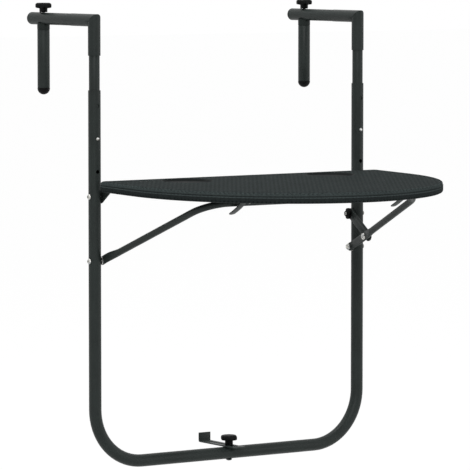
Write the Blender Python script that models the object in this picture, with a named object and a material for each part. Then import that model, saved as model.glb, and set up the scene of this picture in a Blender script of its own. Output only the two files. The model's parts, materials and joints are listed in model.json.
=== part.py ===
"""Folding balcony table that hangs on a railing by two height-adjustable clamp hooks.

Metres, +Z up, +X to the right, +Y towards the railing, the user on -Y.
The origin is the mid rail point: on the plane of the uprights' rear faces, level with the underside
of the two hook arms. Heights of the lower frame are given above the axis of its bottom tube.
"""

import math

import bmesh
import bpy
from mathutils import Vector

GAP = 0.0003  # left between touching pieces
SEGMENTS = 24

# Lower frame: one tube bent to a U
TUBE_R = 0.011
TUBE_WALL = 0.0012
UPRIGHT_SPACING = 0.568
ARM_HEIGHT = 0.780  # arm axis above bottom tube axis
BEND_R = 0.097
SLEEVE_LENGTH = 0.0615  # below the arm's axis
HOLE_PITCH = 0.0575
SLEEVE_CLEARANCE = 0.003  # left above the frame with the hooks pushed down to the lowest hole
TOP_HOLE_DOWN = 0.027  # top height hole below the frame's end
PIVOT_BELOW_HOLES = 0.044
PIVOT_SPACING = 0.113  # table pivot above brace pivot
STUD_DROP = 0.052  # latch stud below the table pivot

# Hooks
ARM_R = 0.011
ARM_REACH = 0.205  # from the upright's axis to the arm's open end
INNER_R = TUBE_R - TUBE_WALL - GAP
INNER_TAIL = 0.0155  # inner tube below its button
INNER_LAP = 0.030  # inner tube inside the sleeve
CLAMP_FROM_END = 0.0363  # clamp leg's axis short of the arm's end, as in the photo
CLAMP_IN = 0.092
CLAMP_OUT = 0.008
LEG_BOTTOM = 0.124
FOOT_CAP = 0.012
BUTTON_R = 0.003
BUTTON_PLAY = 0.0005
BUTTON_OUT = 0.0015

# Table top
TOP_WIDTH = 0.600
TOP_DEPTH = 0.400
TOP_THICK = 0.019
TOP_STRAIGHT = 0.100  # straight part of each side, behind the rounded front
TOP_EDGE_R = 0.0055
TOP_BACK = 0.035  # from the uprights' axes to the back edge
TOP_OVER_PIVOT = 0.0115  # underside above its pivot, so that it folds flat on the uprights
TOP_DROOP = math.radians(1.0)  # the front hangs this low in the photo
RECESS_R = 0.044
RECESS_X = 0.154
RECESS_BACK = 0.060  # recess centre in front of the back edge
RECESS_DEPTH = 0.004

# Folding brace
BRACE_R = 0.006
BRACE_REACH = 0.272  # pivot to crossbar, measured level
BRACE_CORNER_X = 0.2287
BRACE_BEND_R = 0.050
FLAT_HALF_T = 0.002
FLAT_HALF_W = 0.0085
FLAT_STRAIGHT = 0.012
FLAT_RUN = 0.054  # flattened length beyond the first kink, on the latch's side
LEFT_FLAT_RUN = 0.009
SWAGE = 0.028  # where the flat grows round
RIVET_AT = 0.059

# Layers inward from each upright's inner face
SHEET = 0.0018
LATCH_T = 0.0025
BRACE_WASHER = 0.0020

# Hinge brackets, catches and their screws, measured forward from the table pivot
EYE_R = 0.0124
FLANGE_FROM = 0.064
FLANGE_TO = 0.098
FLANGE_W = 0.0216
SCREW_INSET = 0.008  # from each end of the flange
SCREW_LENGTH = 0.013
PILOT_R = 0.0023
CATCH_FROM_CROSSBAR = 0.044  # catch screw in front of the crossbar
CATCH_T = 0.0014

# Small parts
BOLT_R = 0.003
HOLE_R = 0.0034
KNOB_R = 0.0156
KNOB_H = 0.0092
STEM_R = 0.0072
CLAMP_STEM_H = 0.0074
STOP_STEM_H = 0.0088
BOLT_IN_KNOB = 0.003  # thread beyond the neck, inside the head
CATCH_X = 0.172
CATCH_W = 0.012
STOP_HALF_W = 0.0125
STOP_BACK = 0.080
STOP_FRONT = 0.035
STOP_T = 0.002
STOP_FLANGE = 0.017

# Derived
UPRIGHT_X = UPRIGHT_SPACING / 2
UPRIGHT_Y = -TUBE_R
BOTTOM_Z = ARM_R - ARM_HEIGHT
SLEEVE_BOTTOM_H = ARM_HEIGHT - SLEEVE_LENGTH
FRAME_TOP_H = SLEEVE_BOTTOM_H - HOLE_PITCH - SLEEVE_CLEARANCE
BUTTON_H = FRAME_TOP_H - TOP_HOLE_DOWN - HOLE_PITCH  # the middle of the three height holes
TABLE_PIVOT_H = BUTTON_H - HOLE_PITCH - PIVOT_BELOW_HOLES
BRACE_PIVOT_H = TABLE_PIVOT_H - PIVOT_SPACING
STUD_H = TABLE_PIVOT_H - STUD_DROP
CLAMP_REACH = ARM_REACH - CLAMP_FROM_END
INNER_FACE = UPRIGHT_X - TUBE_R
LAYER_A = INNER_FACE - GAP  # outer face of the first layer
LAYER_B = LAYER_A - SHEET - GAP
LAYER_C = LAYER_B - LATCH_T - GAP
BRACE_X = LAYER_A - BRACE_WASHER - GAP - FLAT_HALF_T
BRACKET_SCREWS = (FLANGE_FROM + SCREW_INSET, FLANGE_TO - SCREW_INSET)
BRACKET_SCREW_X = LAYER_A - FLANGE_W * 0.565
CATCH_SCREW_F = BRACE_REACH + CATCH_FROM_CROSSBAR
THROUGH = 3 * TUBE_R  # a cutter's length through any one piece


def height(above_bottom_tube):
    return BOTTOM_Z + above_bottom_tube


def material(name, color, roughness, metallic=0.0):
    mat = bpy.data.materials.new(name)
    mat.use_nodes = True
    mat.diffuse_color = (*color, 1.0)
    shader = mat.node_tree.nodes["Principled BSDF"]
    shader.inputs["Base Color"].default_value = (*color, 1.0)
    shader.inputs["Roughness"].default_value = roughness
    shader.inputs["Metallic"].default_value = metallic
    return mat


def clear_scene():
    for obj in list(bpy.data.objects):
        bpy.data.objects.remove(obj)


def make(name, bm, mat=None, at=(0, 0, 0), turn=(0, 0, 0), parent=None):
    """An object from a bmesh, placed at a point in its parent's frame, turned by Euler angles."""
    bmesh.ops.recalc_face_normals(bm, faces=bm.faces)
    mesh = bpy.data.meshes.new(name)
    bm.to_mesh(mesh)
    bm.free()
    obj = bpy.data.objects.new(name, mesh)
    bpy.context.scene.collection.objects.link(obj)
    obj.location = at
    obj.rotation_euler = turn
    obj.parent = parent
    if mat:
        mesh.materials.append(mat)
    return obj


def empty(name, at, turn=(0, 0, 0)):
    obj = bpy.data.objects.new(name, None)
    bpy.context.scene.collection.objects.link(obj)
    obj.location = at
    obj.rotation_euler = turn
    return obj


def boolean(obj, other, operation="DIFFERENCE"):
    """Cuts or joins with a hidden helper that has the same parent as the object."""
    other.hide_render = True
    other.display_type = "WIRE"
    step = obj.modifiers.new(other.name, "BOOLEAN")
    step.operation = operation
    step.solver = "EXACT"
    step.object = other
    return obj


def loop_of(bm, points):
    return [bm.verts.new(point) for point in points]


def skin(bm, first, second):
    count = len(first)
    for i in range(count):
        bm.faces.new((first[i], first[(i + 1) % count], second[(i + 1) % count], second[i]))


def solid(rings):
    """A closed body through rings of points, with flat ends."""
    bm = bmesh.new()
    loops = [loop_of(bm, ring) for ring in rings]
    for first, second in zip(loops, loops[1:]):
        skin(bm, first, second)
    bm.faces.new(loops[0])
    bm.faces.new(loops[-1])
    return bm


def pipe(outer_rings, inner_rings):
    """An open-ended tube between two sets of rings."""
    bm = bmesh.new()
    outer = [loop_of(bm, ring) for ring in outer_rings]
    inner = [loop_of(bm, ring) for ring in inner_rings]
    for loops in (outer, inner):
        for first, second in zip(loops, loops[1:]):
            skin(bm, first, second)
    skin(bm, outer[0], inner[0])
    skin(bm, outer[-1], inner[-1])
    return bm


def section(point, tangent, side, a, b, power=2.0, segments=SEGMENTS):
    """A ring round a point: half-size a along side, and b across both side and tangent."""
    side = Vector(side)
    across = Vector(tangent).normalized().cross(side)
    ring = []
    for i in range(segments):
        angle = 2 * math.pi * i / segments
        c, s = math.cos(angle), math.sin(angle)
        u = math.copysign(abs(c) ** (2 / power), c) * a
        v = math.copysign(abs(s) ** (2 / power), s) * b
        ring.append(Vector(point) + side * u + across * v)
    return ring


def lathe(profile, segments=20):
    """A body turned about Z from (radius, z) pairs that start and end on a flat end."""
    rings = [section((0, 0, z), (0, 0, 1), (1, 0, 0), r, r, 2.0, segments) for r, z in profile]
    return solid(rings)


def washer_mesh(radius, bore, thick, segments=SEGMENTS):
    """A ring about Z from 0 to thick."""
    ends = (0.0, thick)
    outer = [section((0, 0, z), (0, 0, 1), (1, 0, 0), radius, radius, 2.0, segments) for z in ends]
    inner = [section((0, 0, z), (0, 0, 1), (1, 0, 0), bore, bore, 2.0, segments) for z in ends]
    return pipe(outer, inner)


def nut_mesh(flat_r, bore, thick):
    """A hexagon nut about Z from 0 to thick, flat_r from its axis to each flat."""
    outer = []
    for z in (0.0, thick):
        ring = []
        for i in range(SEGMENTS):
            angle = 2 * math.pi * i / SEGMENTS
            r = flat_r / math.cos(angle % (math.pi / 3) - math.pi / 6)
            ring.append(Vector((r * math.cos(angle), r * math.sin(angle), z)))
        outer.append(ring)
    inner = [section((0, 0, z), (0, 0, 1), (1, 0, 0), bore, bore) for z in (0.0, thick)]
    return pipe(outer, inner)


def prism(outline, low, high, axis="Z"):
    """A flat outline of (u, v) pairs pushed from low to high along Z or X. On X, (u, v) is (Y, Z)."""

    def at(u, v, w):
        return Vector((w, u, v)) if axis == "X" else Vector((u, v, w))

    return solid([[at(u, v, w) for u, v in outline] for w in (low, high)])


def arc(centre, radius, start, end, steps):
    """Points on a circle from start to end degrees."""
    points = []
    for i in range(steps + 1):
        angle = math.radians(start + (end - start) * i / steps)
        points.append((centre[0] + radius * math.cos(angle), centre[1] + radius * math.sin(angle)))
    return points


def rod_cutter(name, radius, length, at, turn, parent=None, segments=16):
    bm = lathe([(radius, -length / 2), (radius, length / 2)], segments)
    return make(name, bm, None, at, turn, parent)


ALONG_X = (0, math.pi / 2, 0)
ALONG_Y = (-math.pi / 2, 0, 0)
UP = (0, 0, 0)


def u_stations():
    """Centreline points and tangents of the lower frame, from the left top to the right top."""
    x, bend = UPRIGHT_X, BEND_R
    stations = [(Vector((-x, UPRIGHT_Y, height(FRAME_TOP_H))), Vector((0, 0, -1)))]
    for side in (-1, 1):
        centre = Vector((side * (x - bend), UPRIGHT_Y, BOTTOM_Z + bend))
        for i in range(10):
            turn = math.radians(180 + 10 * i if side < 0 else 270 + 10 * i)
            out = Vector((math.cos(turn), 0, math.sin(turn)))
            stations.append((centre + out * bend, Vector((-out.z, 0, out.x))))
    stations.append((Vector((x, UPRIGHT_Y, height(FRAME_TOP_H))), Vector((0, 0, 1))))
    return stations


def lower_frame(steel):
    stations = u_stations()
    inner = TUBE_R - TUBE_WALL
    across = (0, 1, 0)
    body = pipe(
        [section(p, t, across, TUBE_R, TUBE_R) for p, t in stations],
        [section(p, t, across, inner, inner) for p, t in stations],
    )
    frame = make("lower_frame", body, steel)
    for side, word in ((-1, "left"), (1, "right")):
        for step in (-1, 0, 1):
            z = height(BUTTON_H + step * HOLE_PITCH)
            at = (side * UPRIGHT_X, UPRIGHT_Y - TUBE_R, z)
            boolean(frame, rod_cutter(f"{word}_height_hole_{step}", BUTTON_R + BUTTON_PLAY, TUBE_R, at, ALONG_Y))
        heights = [TABLE_PIVOT_H, BRACE_PIVOT_H] + ([STUD_H] if side > 0 else [])
        for number, above in enumerate(heights):
            at = (side * UPRIGHT_X, UPRIGHT_Y, height(above))
            boolean(frame, rod_cutter(f"{word}_cross_hole_{number}", HOLE_R, THROUGH, at, ALONG_X))
    at = (0, UPRIGHT_Y, BOTTOM_Z)
    boolean(frame, rod_cutter("stop_hole", HOLE_R, THROUGH, at, UP))
    return frame


def hook_rings(sleeve_r, corner_r, arm_r):
    """Rings from the sleeve's open bottom, round the mitred corner, to the arm's open end."""
    side = (1, 0, 0)
    bottom = height(SLEEVE_BOTTOM_H)
    corner = Vector((0, 0, ARM_R))
    mitre = Vector((0, 1, 1))
    return [
        section((0, 0, bottom), (0, 0, 1), side, sleeve_r, sleeve_r),
        section((0, 0, ARM_R - 0.015), (0, 0, 1), side, sleeve_r, sleeve_r),
        section(corner, mitre, side, corner_r, corner_r * math.sqrt(2)),
        section((0, 0.015, ARM_R), (0, 1, 0), side, arm_r, arm_r),
        section((0, ARM_REACH, ARM_R), (0, 1, 0), side, arm_r, arm_r),
    ]


def slot_outline(half_width, low, high):
    """A round-ended slot along Y."""
    front = arc((0, high), half_width, 0, 180, 8)
    back = arc((0, low), half_width, 180, 360, 8)
    return front + back


def hook_arm(word, x, steel):
    wall = TUBE_WALL
    mitre_r = (TUBE_R + ARM_R) / 2
    body = pipe(
        hook_rings(TUBE_R, mitre_r, ARM_R),
        hook_rings(TUBE_R - wall, mitre_r - wall, ARM_R - wall),
    )
    arm = make(f"{word}_hook_arm", body, steel, (x, UPRIGHT_Y, 0))
    low = CLAMP_REACH - CLAMP_IN - 0.0005
    high = CLAMP_REACH + CLAMP_OUT + 0.0005
    slot = prism(slot_outline(HOLE_R, low, high), -0.005, ARM_R * 2 + 0.005)
    return boolean(arm, make(f"{word}_arm_slot", slot, None, (x, UPRIGHT_Y, 0)))


def arm_end_cap(word, x, plastic):
    bore = ARM_R - TUBE_WALL
    profile = [
        (bore - 0.0008, -0.012),
        (bore - GAP, -0.010),
        (bore - GAP, GAP),
        (ARM_R, GAP),
        (ARM_R, 0.0020),
        (ARM_R * 0.86, 0.0036),
        (ARM_R * 0.5, 0.0046),
    ]
    return make(f"{word}_arm_end_cap", lathe(profile), plastic, (x, UPRIGHT_Y + ARM_REACH, ARM_R), ALONG_Y)


def inner_tube(word, x, steel):
    low = height(BUTTON_H - INNER_TAIL)
    high = height(SLEEVE_BOTTOM_H + INNER_LAP)
    ring = (0, 0, 1), (1, 0, 0)
    bore = INNER_R - TUBE_WALL
    body = pipe(
        [section((0, 0, z), *ring, INNER_R, INNER_R) for z in (low, high)],
        [section((0, 0, z), *ring, bore, bore) for z in (low, high)],
    )
    tube = make(f"{word}_inner_tube", body, steel, (x, UPRIGHT_Y, 0))
    at = (x, UPRIGHT_Y - INNER_R, height(BUTTON_H))
    return boolean(tube, rod_cutter(f"{word}_button_hole", BUTTON_R + BUTTON_PLAY * 0.8, TUBE_R, at, ALONG_Y))


def ribbon(points, thick):
    """The outline of a bent strip, from its centreline points."""
    left, right = [], []
    for i, point in enumerate(points):
        before, after = points[max(i - 1, 0)], points[min(i + 1, len(points) - 1)]
        run = Vector((after[0] - before[0], after[1] - before[1])).normalized()
        off = Vector((-run.y, run.x)) * thick / 2
        left.append((point[0] + off.x, point[1] + off.y))
        right.append((point[0] - off.x, point[1] - off.y))
    return left + right[::-1]


def snap_clip(word, x, zinc):
    """A spring strip bent to a V inside the inner tube, with a domed button through both walls."""
    bore = INNER_R - TUBE_WALL
    near, far = -(bore - 0.0012), bore - 0.0012
    line = [
        (near, -0.008),
        (near, 0.006),
        (-0.0030, 0.019),
        (-0.0012, 0.0222),
        (0.0012, 0.0222),
        (0.0030, 0.019),
        (far, 0.006),
        (far, -0.004),
    ]
    leaf = prism(ribbon(line, 0.0008), -0.0025, 0.0025, "X")
    clip = make(f"{word}_snap_clip", leaf, zinc, (x, UPRIGHT_Y, height(BUTTON_H)))
    out = TUBE_R + BUTTON_OUT
    profile = [
        (BUTTON_R, -near - 0.0002),
        (BUTTON_R, out - 0.0012),
        (BUTTON_R * 0.84, out - 0.0005),
        (BUTTON_R * 0.45, out),
    ]
    turn = (math.pi / 2, 0, 0)
    button = make(f"{word}_button_stem", lathe(profile), None, (x, UPRIGHT_Y, height(BUTTON_H)), turn)
    return boolean(clip, button, "UNION")


def saddle_cap(word, x, plastic):
    bore = TUBE_R - TUBE_WALL
    rim = TUBE_R + 0.0002
    profile = [
        (bore - 0.0010, -0.0210),
        (bore - GAP, -0.0195),
        (bore - GAP, -0.0090),
        (rim, -0.0090),
        (rim, 0.0028),
    ]
    at = (x, UPRIGHT_Y + CLAMP_REACH, 0)
    cap = make(f"{word}_saddle_cap", lathe(profile), plastic, at)
    arm = (at[0], at[1], ARM_R)
    saddle = rod_cutter(f"{word}_saddle_cut", ARM_R + GAP, 0.040, arm, ALONG_Y, None, SEGMENTS)
    boolean(cap, saddle)
    return boolean(cap, rod_cutter(f"{word}_saddle_bore", HOLE_R, 0.060, (at[0], at[1], -0.010), UP))


def clamp_leg(word, x, steel):
    low, high = -LEG_BOTTOM + FOOT_CAP, -0.0090 - GAP
    ring = (0, 0, 1), (1, 0, 0)
    bore = TUBE_R - TUBE_WALL
    body = pipe(
        [section((0, 0, z), *ring, TUBE_R, TUBE_R) for z in (low, high)],
        [section((0, 0, z), *ring, bore, bore) for z in (low, high)],
    )
    return make(f"{word}_clamp_leg", body, steel, (x, UPRIGHT_Y + CLAMP_REACH, 0))


def foot_cap(word, x, plastic):
    low, seat = -LEG_BOTTOM, -LEG_BOTTOM + FOOT_CAP - GAP
    plug = TUBE_R - TUBE_WALL - GAP
    rim = TUBE_R + 0.0002
    profile = [
        (plug - 0.0008, seat + 0.012),
        (plug, seat + 0.010),
        (plug, seat),
        (rim, seat),
    ]
    for degrees in range(0, 90, 15):
        angle = math.radians(degrees)
        profile.append((rim * math.cos(angle), low + rim * (1 - math.sin(angle))))
    profile.append((rim * 0.12, low))
    return make(f"{word}_foot_cap", lathe(profile[::-1]), plastic, (x, UPRIGHT_Y + CLAMP_REACH, 0))


def clamp_bolt(word, x, zinc):
    top = 2 * ARM_R + GAP + CLAMP_STEM_H + BOLT_IN_KNOB
    profile = [(0.005, -0.0253), (0.005, -0.0213), (BOLT_R, -0.0213), (BOLT_R, top)]
    return make(f"{word}_clamp_bolt", lathe(profile, 16), zinc, (x, UPRIGHT_Y + CLAMP_REACH, 0))


def knob_mesh(neck):
    """A lobed head on a round neck that stands on z = 0, with a blind bore for its bolt."""
    head = [
        (STEM_R, 0.0, 0.0),
        (STEM_R, 0.0, neck - 0.001),
        (KNOB_R * 0.80, 0.04, neck),
        (KNOB_R * 0.97, 0.055, neck + KNOB_H * 0.14),
        (KNOB_R, 0.06, neck + KNOB_H * 0.34),
        (KNOB_R, 0.06, neck + KNOB_H * 0.60),
        (KNOB_R * 0.93, 0.055, neck + KNOB_H * 0.83),
        (KNOB_R * 0.74, 0.04, neck + KNOB_H),
        (KNOB_R * 0.52, 0.0, neck + KNOB_H * 0.93),
        (0.0042, 0.0, neck + KNOB_H * 0.93),
    ]
    count = 36
    rings = []
    for radius, lobe, z in head:
        ring = []
        for i in range(count):
            angle = 2 * math.pi * i / count
            r = radius * (1 + lobe * (math.cos(6 * angle) - 1))
            ring.append(Vector((r * math.cos(angle), r * math.sin(angle), z)))
        rings.append(ring)
    bore = BOLT_R + GAP
    for z in (0.0, neck + BOLT_IN_KNOB + GAP):
        angles = [2 * math.pi * i / count for i in range(count)]
        rings.insert(0, [Vector((bore * math.cos(a), bore * math.sin(a), z)) for a in angles])
    return solid(rings)


def clamp_knob(word, x, plastic):
    at = (x, UPRIGHT_Y + CLAMP_REACH, 2 * ARM_R + GAP)
    return make(f"{word}_clamp_knob", knob_mesh(CLAMP_STEM_H), plastic, at)


def top_outline():
    """Half of an oval in front of straight sides, with rounded back corners, as (x, forward) pairs."""
    half, corner = TOP_WIDTH / 2, 0.012
    points = arc((half - corner, corner), corner, -90, 0, 4)
    steps = 60
    for i in range(steps + 1):
        angle = math.pi * i / steps
        c, s = math.cos(angle), math.sin(angle)
        x = math.copysign(abs(c) ** 1.05, c) * half
        y = TOP_STRAIGHT + (TOP_DEPTH - TOP_STRAIGHT) * abs(s) ** 0.95
        points.append((x, y))
    points += arc((-half + corner, corner), corner, 180, 270, 4)
    return points


def inset(points, by):
    """The outline moved inwards along its own normals."""
    moved = []
    count = len(points)
    for i, point in enumerate(points):
        before, after = points[i - 1], points[(i + 1) % count]
        run = Vector((after[0] - before[0], after[1] - before[1])).normalized()
        moved.append((point[0] - run.y * by, point[1] + run.x * by))
    return moved


def table_top(pivot, plastic):
    outline = top_outline()
    low, high, r = TOP_OVER_PIVOT, TOP_OVER_PIVOT + TOP_THICK, TOP_EDGE_R
    steps = [
        (r * 0.60, low),
        (r * 0.16, low + r * 0.22),
        (0.0, low + r * 0.60),
        (0.0, high - r),
        (r * 0.13, high - r * 0.50),
        (r * 0.50, high - r * 0.13),
        (r, high),
    ]
    rings = []
    for by, z in steps:
        rings.append([Vector((x, -(TOP_BACK + y), z)) for x, y in inset(outline, by)])
    top = make("table_top", solid(rings), plastic, parent=pivot)
    for side, word in ((-1, "left"), (1, "right")):
        y = -(TOP_BACK + RECESS_BACK)
        profile = [(RECESS_R - 0.0025, high - RECESS_DEPTH), (RECESS_R, high), (RECESS_R + 0.0006, high + 0.001)]
        cup = make(f"{word}_recess_cut", lathe(profile, 48), None, (side * RECESS_X, y, 0), UP, pivot)
        boolean(top, cup)
        for number, f in enumerate(BRACKET_SCREWS):
            at = (side * BRACKET_SCREW_X, -f, low)
            boolean(top, rod_cutter(f"{word}_pilot_{number}", PILOT_R, SCREW_LENGTH * 2, at, UP, pivot, 12))
        at = (side * CATCH_X, -CATCH_SCREW_F, low)
        boolean(top, rod_cutter(f"{word}_catch_pilot", PILOT_R, SCREW_LENGTH * 2, at, UP, pivot, 12))
    return top


def hinge_bracket(word, side, pivot, steel):
    """A sheet web beside the upright, with an eye round the pivot and a flange under the top."""
    top = TOP_OVER_PIVOT - GAP
    lip = top - SHEET - 0.0011
    outline = [(-p[0], p[1]) for p in arc((0, 0), EYE_R, 130, 318, 14)]
    outline += [(-EYE_R * 2.54, lip), (-FLANGE_TO, lip), (-FLANGE_TO, top), (EYE_R * 0.645, top)]
    low, high = sorted((side * LAYER_A, side * (LAYER_A - SHEET)))
    web = make(f"{word}_hinge_bracket", prism(outline, low, high, "X"), steel, parent=pivot)
    x0, x1 = sorted((side * (LAYER_A - SHEET / 4), side * (LAYER_A - SHEET / 4 - FLANGE_W)))
    f0, f1 = FLANGE_FROM, FLANGE_TO - GAP
    pad = [(x0, -f1), (x1, -f1), (x1, -f0), (x0, -f0)]
    flange = make(f"{word}_bracket_flange", prism(pad, top - SHEET, top - 0.00002), None, parent=pivot)
    boolean(web, flange, "UNION")
    boolean(web, rod_cutter(f"{word}_eye", HOLE_R, THROUGH, (side * LAYER_A, 0, 0), ALONG_X, pivot))
    for number, f in enumerate(BRACKET_SCREWS):
        at = (side * BRACKET_SCREW_X, -f, top)
        boolean(web, rod_cutter(f"{word}_flange_hole_{number}", PILOT_R + 0.0001, TUBE_R, at, UP, pivot, 12))
    return web


def pan_screw(name, x, f, head_top, pivot, zinc):
    """A screw driven upwards, its domed head below head_top."""
    profile = [
        (0.0018, -0.0021),
        (0.0034, -0.0014),
        (0.0040, -0.0004),
        (0.0040, 0.0),
        (PILOT_R - GAP, 0.0),
        (PILOT_R - GAP, SCREW_LENGTH),
    ]
    return make(name, lathe(profile, 12), zinc, (x, -f, head_top), UP, pivot)


def catch_line():
    """Centreline of a catch strip: screwed pad, then down and back under the crossbar."""
    z = TOP_OVER_PIVOT - GAP - CATCH_T / 2
    bar = BRACE_REACH
    r = BRACE_R
    return [
        (-bar - 8.67 * r, z),
        (-bar - 5.17 * r, z),
        (-bar - 4.42 * r, z - 0.23 * r),
        (-bar - 3.50 * r, z - 0.93 * r),
        (-bar - 1.83 * r, z - 2.13 * r),
        (-bar + 0.33 * r, z - 3.37 * r),
        (-bar + 2.17 * r, z - 4.30 * r),
    ]


def catch(word, side, pivot, steel):
    x = side * CATCH_X
    strip = prism(ribbon(catch_line(), CATCH_T), x - CATCH_W / 2, x + CATCH_W / 2, "X")
    body = make(f"{word}_crossbar_catch", strip, steel, parent=pivot)
    at = (x, -CATCH_SCREW_F, TOP_OVER_PIVOT)
    return boolean(body, rod_cutter(f"{word}_catch_hole", PILOT_R + 0.0001, TUBE_R, at, UP, pivot, 12))


def cross_bolt(name, side, above, tip_x, zinc):
    """A domed bolt through the upright, its head outside and its shank ending at tip_x inside."""
    head = UPRIGHT_X + TUBE_R + GAP
    profile = [
        (0.0021, 0.0031),
        (0.0040, 0.0024),
        (0.0050, 0.0010),
        (0.0050, 0.0),
        (BOLT_R, 0.0),
        (BOLT_R, tip_x - head),
    ]
    turn = (0, side * math.pi / 2, 0)
    return make(name, lathe(profile, 16), zinc, (side * head, UPRIGHT_Y, height(above)), turn)


def ring_part(name, side, outer_x, body, above, zinc):
    """A washer or nut on a cross bolt, going inwards from outer_x."""
    at = (side * outer_x, UPRIGHT_Y, height(above))
    return make(name, body, zinc, at, (0, -side * math.pi / 2, 0))


def brace_angle():
    """How far the brace rises, so that its crossbar lies just under the drooping top."""
    lift = TOP_OVER_PIVOT * math.cos(TOP_DROOP) - BRACE_REACH * math.sin(TOP_DROOP)
    rise = TABLE_PIVOT_H - BRACE_PIVOT_H + lift - BRACE_R - GAP
    return math.atan2(rise, BRACE_REACH)


def brace_stations(flat_run, offset):
    """One leg from its rounded end to the middle of the crossbar, as (x, s, tangent, thin, wide, power).

    The offset is how far inboard of the flat's middle the round tube runs.
    """
    slant = BRACE_REACH / math.cos(brace_angle())
    leg = Vector((BRACE_CORNER_X - BRACE_X + offset, slant - FLAT_STRAIGHT)).normalized()
    stations = []
    for s in (-0.97, -0.83, -0.58, -0.30, 0.0):
        wide = FLAT_HALF_W * math.sqrt(1 - s * s)
        stations.append((BRACE_X, s * FLAT_HALF_W, (0, 1), FLAT_HALF_T, wide, 4.0))
    stations.append((BRACE_X, FLAT_STRAIGHT - 0.004, (0, 1), FLAT_HALF_T, FLAT_HALF_W, 4.0))
    mid = (leg.x / 2, (1 + leg.y) / 2)
    stations.append((BRACE_X, FLAT_STRAIGHT, mid, FLAT_HALF_T, FLAT_HALF_W, 4.0))

    def on_leg(run, thin, wide, power):
        inboard = offset * (thin - FLAT_HALF_T) / (BRACE_R - FLAT_HALF_T)
        spot = (BRACE_X - inboard + leg.x * run, FLAT_STRAIGHT + leg.y * run)
        return (*spot, tuple(leg), thin, wide, power)

    stations.append(on_leg(0.004, FLAT_HALF_T, FLAT_HALF_W, 4.0))
    stations.append(on_leg(flat_run, FLAT_HALF_T, FLAT_HALF_W, 4.0))
    for share, power in ((0.28, 3.0), (0.64, 2.3), (1.0, 2.0)):
        thin = FLAT_HALF_T + (BRACE_R - FLAT_HALF_T) * share ** 0.85
        wide = FLAT_HALF_W + (BRACE_R - FLAT_HALF_W) * share
        stations.append(on_leg(flat_run + SWAGE * share, thin, wide, power))
    turn = math.pi / 2 - math.atan2(-leg.x, leg.y)
    reach = BRACE_BEND_R * math.tan(turn / 2)
    corner = Vector((BRACE_CORNER_X, slant))
    start = corner - leg * reach
    inward = Vector((-leg.y, leg.x))
    centre = start + inward * BRACE_BEND_R
    for i in range(9):
        angle = turn * i / 8
        out = -inward * math.cos(angle) + leg * math.sin(angle)
        run = leg * math.cos(angle) + inward * math.sin(angle)
        point = centre + out * BRACE_BEND_R
        stations.append((point.x, point.y, tuple(run), BRACE_R, BRACE_R, 2.0))
    return stations


def folding_brace(steel):
    """Built flat in the XY plane, forward on -Y, then raised about its pivot."""
    rings = []
    for x, s, tangent, thin, wide, power in brace_stations(FLAT_RUN, 0.0):
        run = Vector((tangent[0], -tangent[1], 0))
        rings.append(section((x, -s, 0), run, (0, 0, 1), wide, thin, power, 16))
    left = brace_stations(LEFT_FLAT_RUN, BRACE_R - FLAT_HALF_T)
    for x, s, tangent, thin, wide, power in reversed(left):
        run = Vector((tangent[0], tangent[1], 0))
        rings.append(section((-x, -s, 0), run, (0, 0, 1), wide, thin, power, 16))
    at = (0, UPRIGHT_Y, height(BRACE_PIVOT_H))
    turn = (-brace_angle(), 0, 0)
    brace = make("folding_brace", solid(rings), steel, at, turn)
    for side, word in ((-1, "left"), (1, "right")):
        spot = (side * BRACE_X, at[1], at[2])
        boolean(brace, rod_cutter(f"{word}_brace_eye", HOLE_R, THROUGH, spot, ALONG_X))
    rivet = rivet_point()
    hole = rod_cutter("rivet_hole", HOLE_R, THROUGH, (LAYER_C - 0.006, rivet.y, rivet.z), ALONG_X)
    return boolean(brace, hole)


def rivet_point():
    """Where the latch rivet crosses the brace, in the part's frame, with x left at 0."""
    angle = brace_angle()
    y = UPRIGHT_Y - RIVET_AT * math.cos(angle)
    return Vector((0, y, height(BRACE_PIVOT_H) + RIVET_AT * math.sin(angle)))


def latch_frame():
    """Unit vectors (y, z) of the latch: from rivet to stud, and square to it on its underside."""
    rivet = rivet_point()
    run = Vector((UPRIGHT_Y - rivet.y, height(STUD_H) - rivet.z))
    along = run.normalized()
    below = Vector((along.y, -along.x))
    return rivet, run.length, along, below


def latch_plate(steel):
    """A flat bar on the brace's rivet whose slanted mouth drops over the stud in the upright."""
    rivet, length, along, below = latch_frame()

    def spot(u, v):
        point = along * u + below * v
        return (point.x, point.y)

    outline = []
    for u, v in arc((0, 0), 0.009, 90, 270, 12):
        outline.append(spot(u, v))
    for u, v in arc((length + 0.001, 0), 0.009, -90, 90, 12):
        outline.append(spot(u, v))
    low, high = LAYER_B - LATCH_T, LAYER_B
    plate = make("latch_plate", prism(outline, low, high, "X"), steel, (0, rivet.y, rivet.z))
    mouth = [(length - 0.0036, 0.020)]
    mouth += [(length + p[0], p[1]) for p in arc((0, 0), 0.0036, 180, 320, 10)]
    mouth += [(length + 0.0195, 0.020)]
    shape = [spot(u, v) for u, v in mouth]
    cutter = make("latch_mouth", prism(shape, low - 0.002, high + 0.002, "X"), None, (0, rivet.y, rivet.z))
    boolean(plate, cutter)
    at = (LAYER_B, rivet.y, rivet.z)
    return boolean(plate, rod_cutter("latch_eye", HOLE_R, 0.010, at, ALONG_X))


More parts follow.
